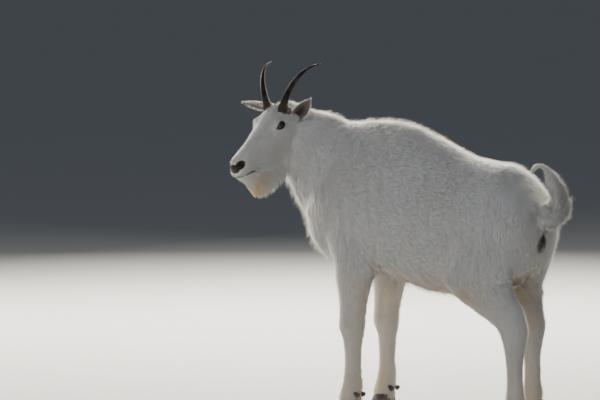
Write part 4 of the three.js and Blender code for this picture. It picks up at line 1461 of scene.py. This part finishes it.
def toe_rings(x, y, flip):
    levels = smooth_rows([
        # level, reach, width
        (0, 0.955, 0.93), (2.5, 1, 1), (8, 0.99, 1.02), (26, 0.8, 0.97), (HOOF_HEIGHT, 0.56, 0.88),
    ], 4)
    angle = np.arange(TOE_POINTS) / TOE_POINTS * math.tau
    along = -np.cos(angle)
    taper = np.where(along < 0, 1 - 0.45 * along**2, 1)
    rings = []
    for z, reach, wide in levels:
        growth = 1 + 0.012 * math.sin(z * 1.1) * (z > 3)
        across = HOOF_WIDTH / 2 * wide * growth * np.sin(angle) * taper
        length = np.where(along < 0, HOOF_LENGTH * TOE_AHEAD * reach * growth, HOOF_LENGTH * HEEL_BEHIND)
        inward = flip * 3 * np.maximum(0, -along)
        rings.append(np.stack([x + across - inward, y + length * along, 0 * along + z], 1))
    return np.array(rings)


def dewclaw_rings(place):
    axis = np.array([0, math.cos(CLAW_TILT), math.sin(CLAW_TILT)])
    up = np.cross(axis, X)
    around = np.arange(CLAW_POINTS) / CLAW_POINTS * math.tau
    circle = np.cos(around)[:, None] * X + np.sin(around)[:, None] * up
    # place along the claw and radius
    rows = smooth_rows([(16, 1), (5, 5.5), (-4, 8), (-8, 7.6), (-10.5, 4)], 4)
    return np.array([place + axis * along + radius * circle for along, radius in rows])


def make_feet(look):
    for leg, flip, stance, stations, step in LEGS:
        _, y, _, _, out, _ = stations[-1]
        x = flip * (stance + out)
        y -= step
        name = leg.replace("fore", "front")
        for toe, outward in (("outer", flip), ("inner", -flip)):
            rings = toe_rings(x + outward * TOE_SPREAD, y, outward)
            piece = mesh_object(f"toe_{name}_{toe}", *loft(rings))
            finish_piece(piece, look, "hoof", f"hoof_{name}_{toe}")
            place = x + outward * CLAW_PLACE["aside"], y + CLAW_PLACE["behind"], CLAW_PLACE["height"]
            claw = mesh_object(f"claw_{name}_{toe}", *loft(dewclaw_rings(np.array(place))))
            finish_piece(claw, look, "hoof", f"dewclaw_{name}_{toe}")


# Camera, light and floor
VIEW_AZIMUTH = math.radians(127)
VIEW_ELEVATION = math.radians(5)
VIEW_DISTANCE = 10.0                # metres
VIEW_AIM = np.array([224.6, -310.9, 648.2])
LENS = 203.4
LAMP_AIM = Vector((0, 0, 0.5))      # metres
SKY = (0.70, 0.78, 0.90, 1)
SKY_STRENGTH = 0.2
FLOOR_REACH = 80e3


def direction(azimuth, elevation):
    """From the goat to a camera or a lamp; azimuth 0 is in front of her and 90 at her left."""
    level = math.cos(elevation)
    return Vector((math.sin(azimuth) * level, -math.cos(azimuth) * level, math.sin(elevation)))


def add_aimed(name, data, back, aim, distance):
    thing = bpy.data.objects.new(name, data)
    thing.location = aim + back * distance
    thing.rotation_euler = back.to_track_quat("Z", "Y").to_euler()
    bpy.context.scene.collection.objects.link(thing)
    return thing


def add_camera():
    data = bpy.data.cameras.new("photo_view")
    data.lens = LENS
    back = direction(VIEW_AZIMUTH, VIEW_ELEVATION)
    aim = Vector(to_scene(VIEW_AIM))
    bpy.context.scene.camera = add_aimed("photo_view", data, back, aim, VIEW_DISTANCE)


def add_lamp(name, azimuth, elevation, distance, size, power, colour):
    data = bpy.data.lights.new(name, "AREA")
    data.size = size
    data.energy = power
    data.color = colour
    add_aimed(name, data, direction(math.radians(azimuth), math.radians(elevation)), LAMP_AIM, distance)


def add_surroundings():
    lamps = [
        # name, azimuth, elevation, distance m, size m, power W, colour
        ("rim_front", 350, 20, 4.0, 0.9, 330, (1.0, 0.93, 0.82)),
        ("rim_rear", 276, 24, 4.0, 0.9, 270, (1.0, 0.93, 0.82)),
        ("rim_top", 310, 30, 4.0, 0.9, 520, (1.0, 0.95, 0.87)),
        ("fill", 105, 25, 6.0, 5.0, 140, (0.97, 0.96, 0.95)),
    ]
    for lamp in lamps:
        add_lamp(*lamp)
    world = bpy.data.worlds.new("soft_light")
    world.use_nodes = True
    back = world.node_tree.nodes["Background"]
    back.inputs["Color"].default_value = SKY
    back.inputs["Strength"].default_value = SKY_STRENGTH
    bpy.context.scene.world = world
    corners = np.array([(-1, -1, 0), (1, -1, 0), (1, 1, 0), (-1, 1, 0)]) * FLOOR_REACH
    floor = mesh_object("floor", corners, np.array([(0, 1, 2, 3)]))
    floor.data.materials.append(floor_material())


add_camera()
add_surroundings()
hair = coat_material()
dress_body(skin_material(), hair)
ear_look, horn_look, eye_look, rim_look = ear_material(), horn_material(), eye_material(), lid_material()
for flip, side_name in SIDES:
    dress_ear(side_name, ear_look, hair)
    make_horn(side_name, flip, horn_look)
    make_eye(side_name, flip, eye_look)
    make_eye_rim(side_name, flip, rim_look)
make_feet(hoof_material())
